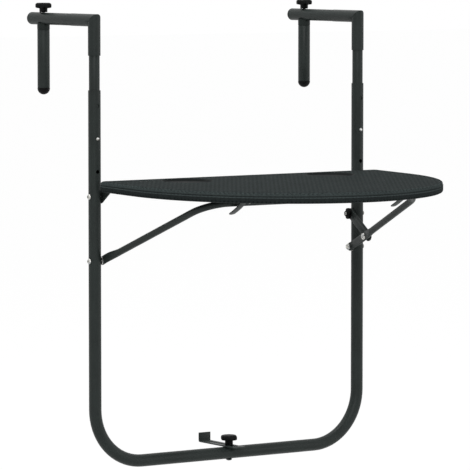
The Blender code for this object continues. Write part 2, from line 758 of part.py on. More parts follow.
def latch_rivet(zinc):
    """Shank along X from a thin head on the latch to a round head on the brace."""
    rivet = rivet_point()
    outer = LAYER_B + 0.0015
    inner_head = RIVET_BRACE_X - 0.0031
    profile = [
        (0.0050, 0.0),
        (0.0055, 0.0004),
        (0.0055, 0.0012),
        (BOLT_R, 0.0012),
        (BOLT_R, outer - inner_head),
        (0.0060, outer - inner_head),
        (0.0060, outer - inner_head + 0.0012),
        (0.0042, outer - inner_head + 0.0026),
        (0.0020, outer - inner_head + 0.0030),
    ]
    return make("latch_rivet", lathe(profile, 20), zinc, (outer, rivet.y, rivet.z), (0, -math.pi / 2, 0))


def rivet_brace_x():
    """The brace's centre line where the rivet crosses it."""
    slant = BRACE_REACH / math.cos(brace_angle())
    share = (RIVET_AT - FLAT_STRAIGHT) / (slant - FLAT_STRAIGHT)
    return BRACE_X + (BRACE_CORNER_X - BRACE_X) * share


RIVET_BRACE_X = rivet_brace_x()


def latch_spacer(zinc):
    rivet = rivet_point()
    low = RIVET_BRACE_X + 0.0031
    mesh = washer_mesh(0.0052, HOLE_R, LAYER_C - low)
    return make("latch_spacer", mesh, zinc, (low, rivet.y, rivet.z), (0, math.pi / 2, 0))


def wing_nut(plastic):
    """A hub on the stud with one round wing above and one below."""
    inner, outer = -0.0100, 0.0
    wings = []
    for start in (90, 270):
        sign = 1 if start == 90 else -1
        wings += [(p[0], p[1]) for p in arc((0, sign * 0.0049), 0.0051, start - 105, start + 105, 12)]
    body = prism(wings, inner + 0.0035, outer - 0.0016, "X")
    at = (LAYER_C, UPRIGHT_Y, height(STUD_H))
    nut = make("latch_wing_nut", body, plastic, at)
    profile = [(0.0050, 0.0), (0.0056, 0.0006), (0.0056, 0.0088), (0.0046, 0.0100)]
    hub = make("wing_nut_hub", lathe(profile, 20), None, at, (0, -math.pi / 2, 0))
    boolean(nut, hub, "UNION")
    bore = rod_cutter("wing_nut_bore", BOLT_R + GAP, 0.026, at, ALONG_X)
    return boolean(nut, bore)


def stop_plate(steel):
    """A slotted strip on the bottom tube, with a flange turned up at its railing end."""
    z = TUBE_R + GAP
    line = [
        (-STOP_FRONT, z + STOP_T / 2),
        (STOP_BACK - 0.0030, z + STOP_T / 2),
        (STOP_BACK - 0.0013, z + STOP_T / 2 + 0.0007),
        (STOP_BACK - 0.0010, z + STOP_T / 2 + 0.0030),
        (STOP_BACK - 0.0010, z + STOP_FLANGE),
    ]
    body = prism(ribbon(line, STOP_T), -STOP_HALF_W, STOP_HALF_W, "X")
    plate = make("stop_plate", body, steel, (0, UPRIGHT_Y, BOTTOM_Z))
    slot = prism(slot_outline(HOLE_R, -STOP_FRONT + 0.012, STOP_BACK - 0.020), z - 0.005, z + 0.010)
    return boolean(plate, make("stop_slot", slot, None, (0, UPRIGHT_Y, BOTTOM_Z)))


def stop_bolt(zinc):
    top = TUBE_R + 2 * GAP + STOP_T + STOP_STEM_H + BOLT_IN_KNOB
    low = -TUBE_R - GAP
    profile = [(0.0022, low - 0.0030), (0.0045, low - 0.0022), (0.0056, low - 0.0006), (0.0056, low)]
    profile += [(BOLT_R, low), (BOLT_R, top)]
    return make("stop_bolt", lathe(profile, 16), zinc, (0, UPRIGHT_Y, BOTTOM_Z))


def stop_knob(plastic):
    at = (0, UPRIGHT_Y, BOTTOM_Z + TUBE_R + 2 * GAP + STOP_T)
    return make("stop_knob", knob_mesh(STOP_STEM_H), plastic, at)


def hook(word, side, steel, plastic, zinc):
    x = side * UPRIGHT_X
    hook_arm(word, x, steel)
    arm_end_cap(word, x, plastic)
    inner_tube(word, x, steel)
    snap_clip(word, x, zinc)
    saddle_cap(word, x, plastic)
    clamp_leg(word, x, steel)
    foot_cap(word, x, plastic)
    clamp_bolt(word, x, zinc)
    clamp_knob(word, x, plastic)


def pivots(word, side, pivot, steel, zinc):
    """Bracket, bolts, washers and nuts at the table's and the brace's pivots on one upright."""
    hinge_bracket(word, side, pivot, steel)
    for number, f in enumerate(BRACKET_SCREWS):
        head_top = TOP_OVER_PIVOT - 2 * GAP - SHEET
        name = f"{word}_bracket_screw_{number + 1}"
        pan_screw(name, side * BRACKET_SCREW_X, f, head_top, pivot, zinc)
    inner = LAYER_B
    washer = washer_mesh(0.0070, HOLE_R, 0.0012)
    ring_part(f"{word}_hinge_washer", side, inner, washer, TABLE_PIVOT_H, zinc)
    nut_at = inner - 0.0012 - GAP
    nut = nut_mesh(0.0050, HOLE_R, 0.0045)
    ring_part(f"{word}_hinge_nut", side, nut_at, nut, TABLE_PIVOT_H, zinc)
    cross_bolt(f"{word}_hinge_bolt", side, TABLE_PIVOT_H, nut_at - 0.0055, zinc)
    washer = washer_mesh(0.0075, HOLE_R, BRACE_WASHER)
    ring_part(f"{word}_brace_washer", side, LAYER_A, washer, BRACE_PIVOT_H, zinc)
    nut_at = BRACE_X - FLAT_HALF_T - GAP
    nut = nut_mesh(0.0050, HOLE_R, 0.0040)
    ring_part(f"{word}_brace_nut", side, nut_at, nut, BRACE_PIVOT_H, zinc)
    cross_bolt(f"{word}_brace_bolt", side, BRACE_PIVOT_H, nut_at - 0.0048, zinc)
    catch(word, side, pivot, steel)
    head_top = catch_line()[0][1] - CATCH_T / 2 - GAP
    pan_screw(f"{word}_catch_screw", side * CATCH_X, CATCH_SCREW_F, head_top, pivot, zinc)


def build():
    clear_scene()
    steel = material("powder_coated_steel", (0.050, 0.056, 0.058), 0.45, 0.2)
    plastic = material("black_plastic", (0.020, 0.021, 0.022), 0.50)
    board = material("moulded_plastic", (0.040, 0.045, 0.046), 0.60)
    zinc = material("zinc_plated_steel", (0.62, 0.62, 0.61), 0.30, 1.0)
    lower_frame(steel)
    pivot = empty("table_pivot", (0, UPRIGHT_Y, height(TABLE_PIVOT_H)), (TOP_DROOP, 0, 0))
    table_top(pivot, board)
    for side, word in ((-1, "left"), (1, "right")):
        hook(word, side, steel, plastic, zinc)
        pivots(word, side, pivot, steel, zinc)
    folding_brace(steel)
    latch_plate(steel)
    latch_rivet(zinc)
    latch_spacer(zinc)
    ring_part("latch_washer", 1, LAYER_A, washer_mesh(0.0070, HOLE_R, SHEET), STUD_H, zinc)
    cross_bolt("latch_stud", 1, STUD_H, LAYER_C - 0.0100, zinc)
    wing_nut(plastic)
    stop_plate(steel)
    stop_bolt(zinc)
    stop_knob(plastic)


build()
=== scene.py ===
"""Looks of a rail-hung folding balcony table, built piece by piece over its CAD frame."""

import json
import math

import bmesh
import bpy
from bpy.props import FloatProperty, FloatVectorProperty, IntProperty, PointerProperty
from mathutils import Matrix, Vector


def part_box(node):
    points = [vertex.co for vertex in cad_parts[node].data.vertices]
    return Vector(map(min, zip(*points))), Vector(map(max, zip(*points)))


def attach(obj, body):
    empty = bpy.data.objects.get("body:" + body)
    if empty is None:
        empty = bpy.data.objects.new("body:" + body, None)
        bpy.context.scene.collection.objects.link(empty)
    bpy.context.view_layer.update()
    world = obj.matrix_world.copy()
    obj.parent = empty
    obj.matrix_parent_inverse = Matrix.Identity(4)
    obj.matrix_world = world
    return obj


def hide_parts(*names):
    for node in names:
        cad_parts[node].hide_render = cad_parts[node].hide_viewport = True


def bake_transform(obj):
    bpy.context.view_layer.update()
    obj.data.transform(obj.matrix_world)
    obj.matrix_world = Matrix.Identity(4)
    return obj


bl_info = {
    "name": "Balcony Table",
    "version": (1, 0, 0),
    "blender": (4, 5, 0),
    "location": "3D View > Sidebar > Balcony Table",
    "description": "Builds a folding balcony table that hangs on a railing",
    "category": "Add Mesh",
}

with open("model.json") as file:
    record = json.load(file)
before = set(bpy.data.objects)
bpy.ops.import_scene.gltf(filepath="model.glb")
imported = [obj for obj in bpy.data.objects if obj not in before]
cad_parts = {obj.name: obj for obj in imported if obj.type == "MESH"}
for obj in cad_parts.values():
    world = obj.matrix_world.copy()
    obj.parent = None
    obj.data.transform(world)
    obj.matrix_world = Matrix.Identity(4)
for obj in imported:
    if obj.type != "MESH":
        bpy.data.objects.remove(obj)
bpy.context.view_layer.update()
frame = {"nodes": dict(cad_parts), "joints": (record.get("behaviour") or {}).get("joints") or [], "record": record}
SIDES = (("left", -1), ("right", 1))
X, Y, Z = Vector((1, 0, 0)), Vector((0, 1, 0)), Vector((0, 0, 1))
PHOTO_WIDTH = 470


def low(node):
    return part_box(node)[0]


def high(node):
    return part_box(node)[1]


def middle(node):
    return (low(node) + high(node)) / 2


def span(node):
    return high(node) - low(node)


# Places read from the CAD frame

TUBE_R = span("lower_frame").y / 2
UPRIGHT = middle("right_inner_tube")
ARM_R = span("right_arm_end_cap").z / 2
ARM_Z = middle("right_arm_end_cap").z
BOTTOM_Z = low("lower_frame").z + TUBE_R
TABLE_PIVOT_Z = middle("right_hinge_bolt").z
BRACE_PIVOT_Z = middle("right_brace_bolt").z
STUD_Z = middle("latch_stud").z
RIVET = middle("latch_rivet")
LEG_Y = middle("right_clamp_leg").y


# Values that several pieces share

TOP_TILT = math.radians(1.0)  # droop of the top towards its front
CAP_GAP = 0.0003  # between a cap or bolt head and its tube
ONE_WALL = 0.010  # drill through the near wall of a tube
BOTH_WALLS = 0.030  # drill through a whole tube
LEVEL_NORMAL = 0.72  # a face whose normal is steeper than this counts as level
LIP_SHARE = 1.15  # edge roundings from the top's face down to its lip
THIN_EDGE = 0.0002  # rounding of turned edges
PRESSED_EDGE = 0.0003  # rounding of pressed edges
CAP_SIDES = 48
TOP_SCREWS = ("bracket_screw_1", "bracket_screw_2", "catch_screw")


# Settings


def metres(name, description, default):
    return FloatProperty(
        name=name, description=description, default=default, unit="LENGTH", precision=4, min=0.0
    )


def colour(name, description, default):
    return FloatVectorProperty(
        name=name, description=description, default=default, subtype="COLOR", min=0.0, max=1.0
    )


def share(name, description, default):
    return FloatProperty(
        name=name, description=description, default=default, subtype="FACTOR", min=0.0, max=1.0
    )


def watts(name, description, default):
    return FloatProperty(name=name, description=description, default=default, unit="POWER", min=0.0)


class TubeSettings(bpy.types.PropertyGroup):
    """Sizes of the bent and welded tubes."""

    segments: IntProperty(name="Segments", description="Sides of each round tube", default=48, min=12)
    wall: metres("Wall", "Wall of every tube", 0.0012)
    rim: metres("Rim rounding", "Rounding of a tube's cut ends", 0.0003)
    bend_radius: metres("Bend radius", "Centreline radius of the frame's two lower bends", 0.097)
    bend_steps: IntProperty(name="Bend steps", description="Rings round each bend", default=18, min=6)
    hole_radius: metres("Height hole radius", "Holes for the snap buttons", 0.0035)
    hole_pitch: metres("Height hole pitch", "Distance between two height holes", 0.0575)
    bolt_hole: metres("Bolt hole radius", "Clearance holes for the M6 bolts", 0.0034)
    slot_play: metres("Slot play", "Arm's slot past each end of the clamp bolt's travel", 0.0005)
    leaf: metres("Leaf inset", "Inner tube's wall to the middle of a snap clip's leaf", 0.0017)
    mitre: metres("Mitre reach", "Straight part that the arm's mitred corner takes up", 0.015)
    seam: metres("Mitre seam", "Depth of the seam round the mitre", 0.0008)


class TopSettings(bpy.types.PropertyGroup):
    """Sizes of the moulded table top, in its own plane."""

    width: metres("Width", "Side to side", 0.600)
    depth: metres("Depth", "Back edge to front", 0.400)
    thickness: metres("Thickness", "Underside to top", 0.019)
    straight: metres("Straight sides", "Straight part of each side behind the rounded front", 0.100)
    back: metres("Back edge", "Uprights' axes to the back edge", 0.035)
    over_pivot: metres("Over pivot", "Underside above the pivot", 0.0115)
    edge: metres("Edge rounding", "Rounding between top and rim", 0.0055)
    bead: metres("Edge bead", "Moulded bead round the rim, below the edge rounding", 0.0011)
    corner: metres("Back corners", "Radius of the two back corners", 0.012)
    recess_radius: metres("Recess radius", "Two shallow round recesses", 0.044)
    recess_depth: metres("Recess depth", "Depth of the recesses", 0.004)
    recess_x: metres("Recess place", "Recess centre from the middle", 0.154)
    recess_back: metres("Recess from back", "Recess centre in front of the back edge", 0.060)
    strand: metres("Strand pitch", "Distance between two strands of the weave", 0.0072)
    twill: metres("Twill pitch", "Distance between two diagonal bands of the weave", 0.0073)
    relief: metres("Relief", "How far the moulded strands stand out", 0.0011)


class FittingSettings(bpy.types.PropertyGroup):
    """Sizes of the knobs, caps and pressed parts."""

    knob_radius: metres("Knob radius", "Lobed head", 0.0156)
    knob_height: metres("Knob head", "Height of the head", 0.0092)
    stem_radius: metres("Stem radius", "Round neck of a knob", 0.0072)
    lobes: IntProperty(name="Lobes", description="Finger lobes round a knob", default=6, min=3)
    softening: metres("Softening", "Rounding of pressed and turned edges", 0.00025)
    strip_corner: metres("Strip corner", "Rounding of a catch's free end", 0.0052)
    socket_radius: metres("Hexagon socket", "Corner radius of the socket in a bolt head", 0.0023)
    rivet_hollow: metres("Rivet hollow", "Radius of the hollow in the rivet's formed end", 0.0021)
    pilot_radius: metres("Pilot hole", "Radius of the screws' holes in the top", 0.0023)
    cross_width: metres("Cross recess", "Width of a screw's cross recess", 0.0011)


class BraceSettings(bpy.types.PropertyGroup):
    """Sizes of the folding brace, a round bar with flattened ends."""

    bend: metres("Bend radius", "Centreline radius of the two corners", 0.050)
    right_corner: metres("Right corner", "Right corner from the middle", 0.2227)
    left_corner: metres("Left corner", "Left corner from the middle", 0.2287)
    right_flat: metres("Right flat", "Flat part of the right leg beyond its kink", 0.054)
    left_flat: metres("Left flat", "Flat part of the left leg beyond its kink", 0.009)
    flat_thickness: metres("Flat thickness", "Thickness of the flattened ends", 0.004)
    flat_width: metres("Flat width", "Width of the flattened ends", 0.0152)
    straight: metres("Straight end", "Pivot to the kink of each flattened end", 0.012)
    swage: metres("Swage", "Length over which the flat grows to the round bar", 0.028)


class FinishSettings(bpy.types.PropertyGroup):
    """Colours and gloss."""

    steel: colour("Steel paint", "Powder coat on the tubes", (0.027, 0.034, 0.032))
    steel_roughness: share("Paint roughness", "Roughness of the powder coat", 0.40)
    board: colour("Table top", "Moulded weave", (0.033, 0.041, 0.041))
    board_roughness: share("Top roughness", "Roughness of the moulding", 0.72)
    plastic: colour("Black plastic", "Caps, knobs and wing nut", (0.0035, 0.0038, 0.0038))
    plastic_roughness: share("Plastic roughness", "Roughness of the caps", 0.48)
    zinc: colour("Zinc", "Bolts, nuts, washers and snap clips", (0.54, 0.54, 0.53))
    zinc_roughness: share("Zinc roughness", "Roughness of the plating", 0.30)


class StageSettings(bpy.types.PropertyGroup):
    """Floor, lamps and camera."""

    azimuth: FloatProperty(
        name="Azimuth", description="Viewing direction to the right of straight ahead",
        default=math.radians(34.33), subtype="ANGLE",
    )
    pitch: FloatProperty(
        name="Pitch", description="How far the camera looks down",
        default=math.radians(4.51), subtype="ANGLE",
    )
    camera: FloatVectorProperty(
        name="Camera", description="Camera position", default=(-3.900, -5.741, 0.170),
        subtype="TRANSLATION", unit="LENGTH",
    )
    focal_pixels: FloatProperty(
        name="Focal length", description="Focal length in pixels of the photograph", default=3882.0
    )
    floor_drop: metres("Floor", "Balcony floor below the origin", 0.990)
    floor_colour: colour("Floor colour", "Pale floor", (0.80, 0.80, 0.80))
    whiteness: share("Whiteness", "Share of plain white in what the camera sees of the floor", 0.86)
    glow: FloatProperty(name="Glow", description="Strength of that white", default=1.10, min=0.0)
    world: FloatProperty(name="World", description="Strength of the even light", default=0.31)
    key: watts("Key lamp", "Power of the large lamp", 105.0)
    fill: watts("Fill lamp", "Power of the fill lamp", 40.0)
    overhead: watts("Top lamp", "Power of the lamp above", 60.0)


class BalconyTableSettings(bpy.types.PropertyGroup):
    """All settings of the balcony table."""

    tube: PointerProperty(type=TubeSettings, name="Tubes", description="Tube sizes")
    top: PointerProperty(type=TopSettings, name="Table top", description="Table top sizes")
    fitting: PointerProperty(type=FittingSettings, name="Fittings", description="Fitting sizes")
    brace: PointerProperty(type=BraceSettings, name="Brace", description="Brace sizes")
    finish: PointerProperty(type=FinishSettings, name="Finishes", description="Colours and gloss")
    stage: PointerProperty(type=StageSettings, name="Stage", description="Floor, lamps and camera")


def settings():
    return bpy.context.scene.balcony_table


# Shader helpers


def feed(tree, target, value):
    """Links a socket, or sets a plain value."""
    if isinstance(value, bpy.types.NodeSocket):
        tree.links.new(value, target)
    else:
        target.default_value = value


class Sums:
    """Short names for the math nodes of one node tree."""

    def __init__(self, tree):
        self.tree = tree

    def node(self, kind, **values):
        node = self.tree.nodes.new(kind)
        for name, value in values.items():
            setattr(node, name, value)
        return node

    def sum(self, operation, *values):
        node = self.node("ShaderNodeMath", operation=operation)
        for number, value in enumerate(values):
            feed(self.tree, node.inputs[number], value)
        return node.outputs[0]

    def add(self, a, b):
        return self.sum("ADD", a, b)

    def less(self, a, b):
        return self.sum("SUBTRACT", a, b)

    def times(self, a, b):
        return self.sum("MULTIPLY", a, b)

    def share(self, value, low_end, high_end, to_low=0.0, to_high=1.0):
        node = self.node("ShaderNodeMapRange", interpolation_type="SMOOTHSTEP")
        limits = (value, low_end, high_end, to_low, to_high)
        for number, limit in enumerate(limits):
            feed(self.tree, node.inputs[number], limit)
        return node.outputs[0]

    def noise(self, vector, scale, detail=3.0, roughness=0.5):
        node = self.node("ShaderNodeTexNoise")
        feed(self.tree, node.inputs["Vector"], vector)
        node.inputs["Scale"].default_value = scale
        node.inputs["Detail"].default_value = detail
        node.inputs["Roughness"].default_value = roughness
        return node.outputs[0]

    def stretch(self, vector, factors):
        node = self.node("ShaderNodeVectorMath", operation="MULTIPLY")
        feed(self.tree, node.inputs[0], vector)
        node.inputs[1].default_value = factors
        return node.outputs[0]

    def tint(self, factor, first, second):
        node = self.node("ShaderNodeMix", data_type="RGBA")
        feed(self.tree, node.inputs[0], factor)
        feed(self.tree, node.inputs[6], first)
        feed(self.tree, node.inputs[7], second)
        return node.outputs[2]


def new_group(name, inputs, outputs):
    """An empty node group with named sockets, and its input and output nodes."""
    tree = bpy.data.node_groups.new(name, "ShaderNodeTree")
    for title, kind, default in inputs:
        made = tree.interface.new_socket(title, in_out="INPUT", socket_type=kind)
        if default is not None:
            made.default_value = default
    for title, kind in outputs:
        tree.interface.new_socket(title, in_out="OUTPUT", socket_type=kind)
    entry = tree.nodes.new("NodeGroupInput")
    leave = tree.nodes.new("NodeGroupOutput")
    return tree, Sums(tree), entry.outputs, leave.inputs


def grain_group():
    """Fine and coarse unevenness of a sprayed or moulded skin, with sparse specks."""
    name = "Surface grain"
    if name in bpy.data.node_groups:
        return bpy.data.node_groups[name]
    inputs = (
        ("Vector", "NodeSocketVector", None),
        ("Fine", "NodeSocketFloat", 1400.0),
        ("Coarse", "NodeSocketFloat", 30.0),
    )
    outputs = (("Height", "NodeSocketFloat"), ("Mottle", "NodeSocketFloat"), ("Specks", "NodeSocketFloat"))
    tree, sums, given, out = new_group(name, inputs, outputs)
    fine = sums.noise(given["Vector"], 1.0, 2.0)
    tree.links.new(given["Fine"], fine.node.inputs["Scale"])
    coarse = sums.noise(given["Vector"], 1.0, 4.0, 0.6)
    tree.links.new(given["Coarse"], coarse.node.inputs["Scale"])
    specks = sums.share(sums.noise(given["Vector"], 520.0, 1.0), 0.66, 0.74)
    tree.links.new(fine, out["Height"])
    tree.links.new(sums.share(coarse, 0.30, 0.70), out["Mottle"])
    tree.links.new(specks, out["Specks"])
    return tree


def dust_group():
    """Pale dust that settles on faces that look up, in uneven patches."""
    name = "Settled dust"
    if name in bpy.data.node_groups:
        return bpy.data.node_groups[name]
    inputs = (("Vector", "NodeSocketVector", None), ("Amount", "NodeSocketFloat", 0.05))
    tree, sums, given, out = new_group(name, inputs, (("Mask", "NodeSocketFloat"),))
    facing = sums.node("ShaderNodeNewGeometry").outputs["Normal"]
    split = sums.node("ShaderNodeSeparateXYZ")
    tree.links.new(facing, split.inputs[0])
    upward = sums.share(split.outputs["Z"], 0.35, 0.95)
    patches = sums.share(sums.noise(given["Vector"], 38.0, 4.0, 0.65), 0.35, 0.75)
    tree.links.new(sums.times(sums.times(upward, patches), given["Amount"]), out["Mask"])
    return tree


def weave_group():
    """Two sets of round strands that pass over and under each other.

    Height runs from 0 in the gaps to about 1 on the crests, Gap marks the gaps between strands, Strand
    tells the two sets apart, and Twill runs in steep diagonal bands across both.
    """
    name = "Rattan weave"
    if name in bpy.data.node_groups:
        return bpy.data.node_groups[name]
    inputs = (
        ("Vector", "NodeSocketVector", None),
        ("Pitch", "NodeSocketFloat", 0.0072),
        ("Twill", "NodeSocketFloat", 0.0073),
    )
    outputs = tuple((title, "NodeSocketFloat") for title in ("Height", "Gap", "Strand", "Twill"))
    tree, sums, given, out = new_group(name, inputs, outputs)
    split = sums.node("ShaderNodeSeparateXYZ")
    tree.links.new(given["Vector"], split.inputs[0])
    across = [sums.sum("DIVIDE", split.outputs[axis], given["Pitch"]) for axis in ("X", "Y")]
    heights = []
    for along, over, sign in ((across[0], across[1], 1.0), (across[1], across[0], -1.0)):
        row = sums.sum("FLOOR", over)
        turn = sums.sum("COSINE", sums.times(row, math.pi))
        wave = sums.times(sums.sum("SINE", sums.times(along, math.pi)), turn)
        inside = sums.less(sums.times(sums.sum("FRACT", over), 2.0), 1.0)
        fall = sums.times(inside, sums.times(inside, 1.16))
        round_off = sums.sum("SQRT", sums.sum("MAXIMUM", sums.less(1.0, fall), 0.0))
        heights.append(sums.add(sums.times(round_off, 0.62), sums.times(wave, 0.30 * sign)))
    crest = sums.sum("MAXIMUM", heights[0], heights[1])
    upper = sums.sum("GREATER_THAN", heights[0], heights[1])
    tree.links.new(sums.share(crest, 0.05, 0.95), out["Height"])
    tree.links.new(sums.share(crest, 0.60, 0.22), out["Gap"])
    tree.links.new(upper, out["Strand"])
    steep = sums.node("ShaderNodeVectorMath", operation="DOT_PRODUCT")
    tree.links.new(given["Vector"], steep.inputs[0])
    steep.inputs[1].default_value = (0.826, -0.563, 0.0)
    bands = sums.sum("DIVIDE", steep.outputs["Value"], given["Twill"])
    wave = sums.sum("COSINE", sums.times(bands, 2 * math.pi))
    tree.links.new(sums.share(wave, -1.0, 1.0), out["Twill"])
    return tree


class Finish:
    """A material that is being wired: its Principled shader, sums and Object coordinates."""

    def __init__(self, name, roughness, metallic=0.0, specular=0.5):
        self.material = bpy.data.materials.new(name)
        self.material.use_nodes = True
        self.tree = self.material.node_tree
        self.shader = self.tree.nodes["Principled BSDF"]
        self.shader.inputs["Roughness"].default_value = roughness
        self.shader.inputs["Metallic"].default_value = metallic
        self.shader.inputs["Specular IOR Level"].default_value = specular
        self.sums = Sums(self.tree)
        self.place = self.sums.node("ShaderNodeTexCoord").outputs["Object"]

    def group(self, group, **values):
        """Places a node group, fed with Object coordinates unless it is given a Vector."""
        node = self.sums.node("ShaderNodeGroup", node_tree=group)
        for name, value in {"Vector": self.place, **values}.items():
            feed(self.tree, node.inputs[name], value)
        return node.outputs

    def into(self, name, value):
        feed(self.tree, self.shader.inputs[name], value)

    def dusty(self, base, amount):
        """Sets the base colour, with dust settled on it."""
        dust = self.group(dust_group(), Amount=amount)["Mask"]
        self.into("Base Color", self.sums.tint(dust, base, DUST))

    def bump(self, height, distance, strength=1.0, under=None):
        node = self.sums.node("ShaderNodeBump")
        node.inputs["Strength"].default_value = strength
        node.inputs["Distance"].default_value = distance
        feed(self.tree, node.inputs["Height"], height)
        if under:
            self.tree.links.new(under, node.inputs["Normal"])
        return node.outputs[0]


def shade(base, factor):
    return (*(min(1.0, part * factor) for part in base), 1.0)


DUST = (0.30, 0.30, 0.29, 1.0)
DUST_AMOUNT = 0.012


def powder_coat():
    """Fine-texture anthracite powder coat on steel."""
    name = "anthracite_powder_coat"
    if name in bpy.data.materials:
        return bpy.data.materials[name]
    look = settings().finish
    coat = Finish(name, look.steel_roughness, specular=0.16)
    sums = coat.sums
    grain = coat.group(grain_group(), Fine=1500.0, Coarse=22.0)
    base = sums.tint(grain["Mottle"], shade(look.steel, 0.88), shade(look.steel, 1.12))
    base = sums.tint(sums.times(grain["Specks"], 0.35), base, shade(look.steel, 1.9))
    coat.dusty(base, DUST_AMOUNT)
    rough = look.steel_roughness
    coat.into("Roughness", sums.share(grain["Mottle"], 0.0, 1.0, rough - 0.05, rough + 0.07))
    coat.into("Normal", coat.bump(grain["Height"], 0.00016, 0.55))
    return coat.material


def rim_masks(sums, lip):
    """Masks by the depth under the top's face: the face, its rounded edge, the line below that, the rim. The board
    uses them for painted highlight on the edge and the line, and painted shade on the rim.
    """
    depth = sums.node("ShaderNodeAttribute", attribute_name="rim_depth").outputs["Fac"]
    face = sums.share(depth, lip * 0.9, lip * 0.4)
    edge = sums.times(sums.share(depth, 0.0, 0.0012), sums.share(depth, lip, lip - 0.0010))
    line_start = sums.share(depth, lip + 0.0010, lip + 0.0018)
    line = sums.times(line_start, sums.share(depth, lip + 0.0040, lip + 0.0030))
    return face, edge, line, sums.share(depth, lip, lip + 0.0010)


def woven_board():
    """Moulded rattan weave, laid along the piece's own map in metres, with painted shade in the gaps between
    strands and on the rim, and a painted highlight along the top's rounded edge and its bead line.
    """
    name = "moulded_weave"
    if name in bpy.data.materials:
        return bpy.data.materials[name]
    look, top = settings().finish, settings().top
    board = Finish(name, look.board_roughness, specular=0.012)
    sums = board.sums
    flat = sums.node("ShaderNodeUVMap", uv_map="weave").outputs[0]
    weave = board.group(weave_group(), Vector=flat, Pitch=top.strand, Twill=top.twill)
    along, over = 90.0, 2600.0
    fibre = [sums.noise(sums.stretch(flat, f), 1.0, 2.0) for f in ((along, over, 1.0), (over, along, 1.0))]
    strand = sums.node("ShaderNodeMix", data_type="FLOAT")
    feed(board.tree, strand.inputs[0], weave["Strand"])
    feed(board.tree, strand.inputs[2], fibre[1])
    feed(board.tree, strand.inputs[3], fibre[0])
    streak = sums.share(strand.outputs[0], 0.3, 0.7)
    grain = board.group(grain_group(), Fine=1100.0, Coarse=16.0)
    base = sums.tint(streak, shade(look.board, 0.84), shade(look.board, 1.22))
    base = sums.tint(sums.times(weave["Strand"], 0.30), base, shade(look.board, 1.30))
    base = sums.tint(sums.times(grain["Mottle"], 0.30), base, shade(look.board, 0.78))
    face, edge, line, rim = rim_masks(sums, top.edge * LIP_SHARE)
    banded = sums.times(weave["Twill"], sums.times(face, 0.34))
    base = sums.tint(banded, base, shade(look.board, 0.30))
    # Painted shade: the gaps between strands are darkened, much less so on the bead line.
    gaps = sums.times(weave["Gap"], sums.share(line, 0.0, 1.0, 0.78, 0.15))
    base = sums.tint(gaps, base, shade(look.board, 0.22))
    # Painted highlight on the rounded edge and on the bead line below it, and painted shade on the rim under them,
    # applied as a scale on the colour.
    painted_edge_highlight = sums.add(sums.times(edge, 0.9), sums.times(line, 1.4))
    painted_light_scale = sums.node("ShaderNodeVectorMath", operation="SCALE")
    feed(board.tree, painted_light_scale.inputs[0], base)
    feed(board.tree, painted_light_scale.inputs["Scale"], sums.add(sums.less(painted_edge_highlight, sums.times(rim, 0.25)), 1.0))
    board.dusty(painted_light_scale.outputs[0], DUST_AMOUNT)
    rough = look.board_roughness
    board.into("Roughness", sums.share(streak, 0.0, 1.0, rough - 0.06, rough + 0.06))
    fine = board.bump(sums.add(grain["Height"], streak), 0.00010, 0.5)
    board.into("Normal", board.bump(weave["Height"], top.relief, 1.0, fine))
    return board.material


def grained_moulding(name, base, roughness, fine=900.0, depth=0.0002, dust_amount=DUST_AMOUNT):
    """Moulded plastic with a spark-eroded grain."""
    if name in bpy.data.materials:
        return bpy.data.materials[name]
    plastic = Finish(name, roughness, specular=0.10)
    sums = plastic.sums
    grain = plastic.group(grain_group(), Fine=fine, Coarse=26.0)
    tone = sums.tint(grain["Mottle"], shade(base, 0.85), shade(base, 1.18))
    tone = sums.tint(sums.times(grain["Specks"], 0.25), tone, shade(base, 2.0))
    plastic.dusty(tone, dust_amount)
    plastic.into("Roughness", sums.share(grain["Mottle"], 0.0, 1.0, roughness - 0.06, roughness + 0.08))
    plastic.into("Normal", plastic.bump(grain["Height"], depth, 0.6))
    return plastic.material


def black_plastic():
    look = settings().finish
    return grained_moulding("grained_black_plastic", look.plastic, look.plastic_roughness)


def charcoal_plastic():
    look = settings().finish
    return grained_moulding("charcoal_plastic", shade(look.steel, 0.80)[:3], look.plastic_roughness)


def board_underside():
    look = settings().finish
    return grained_moulding("moulded_underside", shade(look.board, 0.70)[:3], 0.62, 420.0, 0.0005)


def recess_painted_shade():
    # Painted shade: the board colour at about a quarter, standing in for the shade inside the two recesses.
    look = settings().finish
    return grained_moulding("moulded_recess", shade(look.board, 0.26)[:3], 0.70, 420.0, 0.0005, 0.0)


def zinc_plate():
    """Bright zinc with fine turning marks and a faint two-tone tint."""
    name = "bright_zinc"
    if name in bpy.data.materials:
        return bpy.data.materials[name]
    look = settings().finish
    plate = Finish(name, look.zinc_roughness, 1.0)
    sums = plate.sums
    grain = plate.group(grain_group(), Fine=2600.0, Coarse=240.0)
    warm = (look.zinc[0] * 1.04, look.zinc[1] * 1.01, look.zinc[2] * 0.94, 1.0)
    cool = (look.zinc[0] * 0.84, look.zinc[1] * 0.88, look.zinc[2] * 0.92, 1.0)
    base = sums.tint(grain["Mottle"], warm, cool)
    plate.into("Base Color", sums.tint(sums.times(grain["Specks"], 0.5), base, shade(look.zinc, 0.45)))
    rough = look.zinc_roughness
    plate.into("Roughness", sums.share(grain["Mottle"], 0.0, 1.0, rough - 0.07, rough + 0.12))
    plate.into("Normal", plate.bump(grain["Height"], 0.00006, 0.5))
    return plate.material


FINISHES = {
    "powder_coated_steel": powder_coat,
    "black_plastic": black_plastic,
    "zinc_plated_steel": zinc_plate,
    "moulded_plastic": woven_board,
}


# Mesh helpers


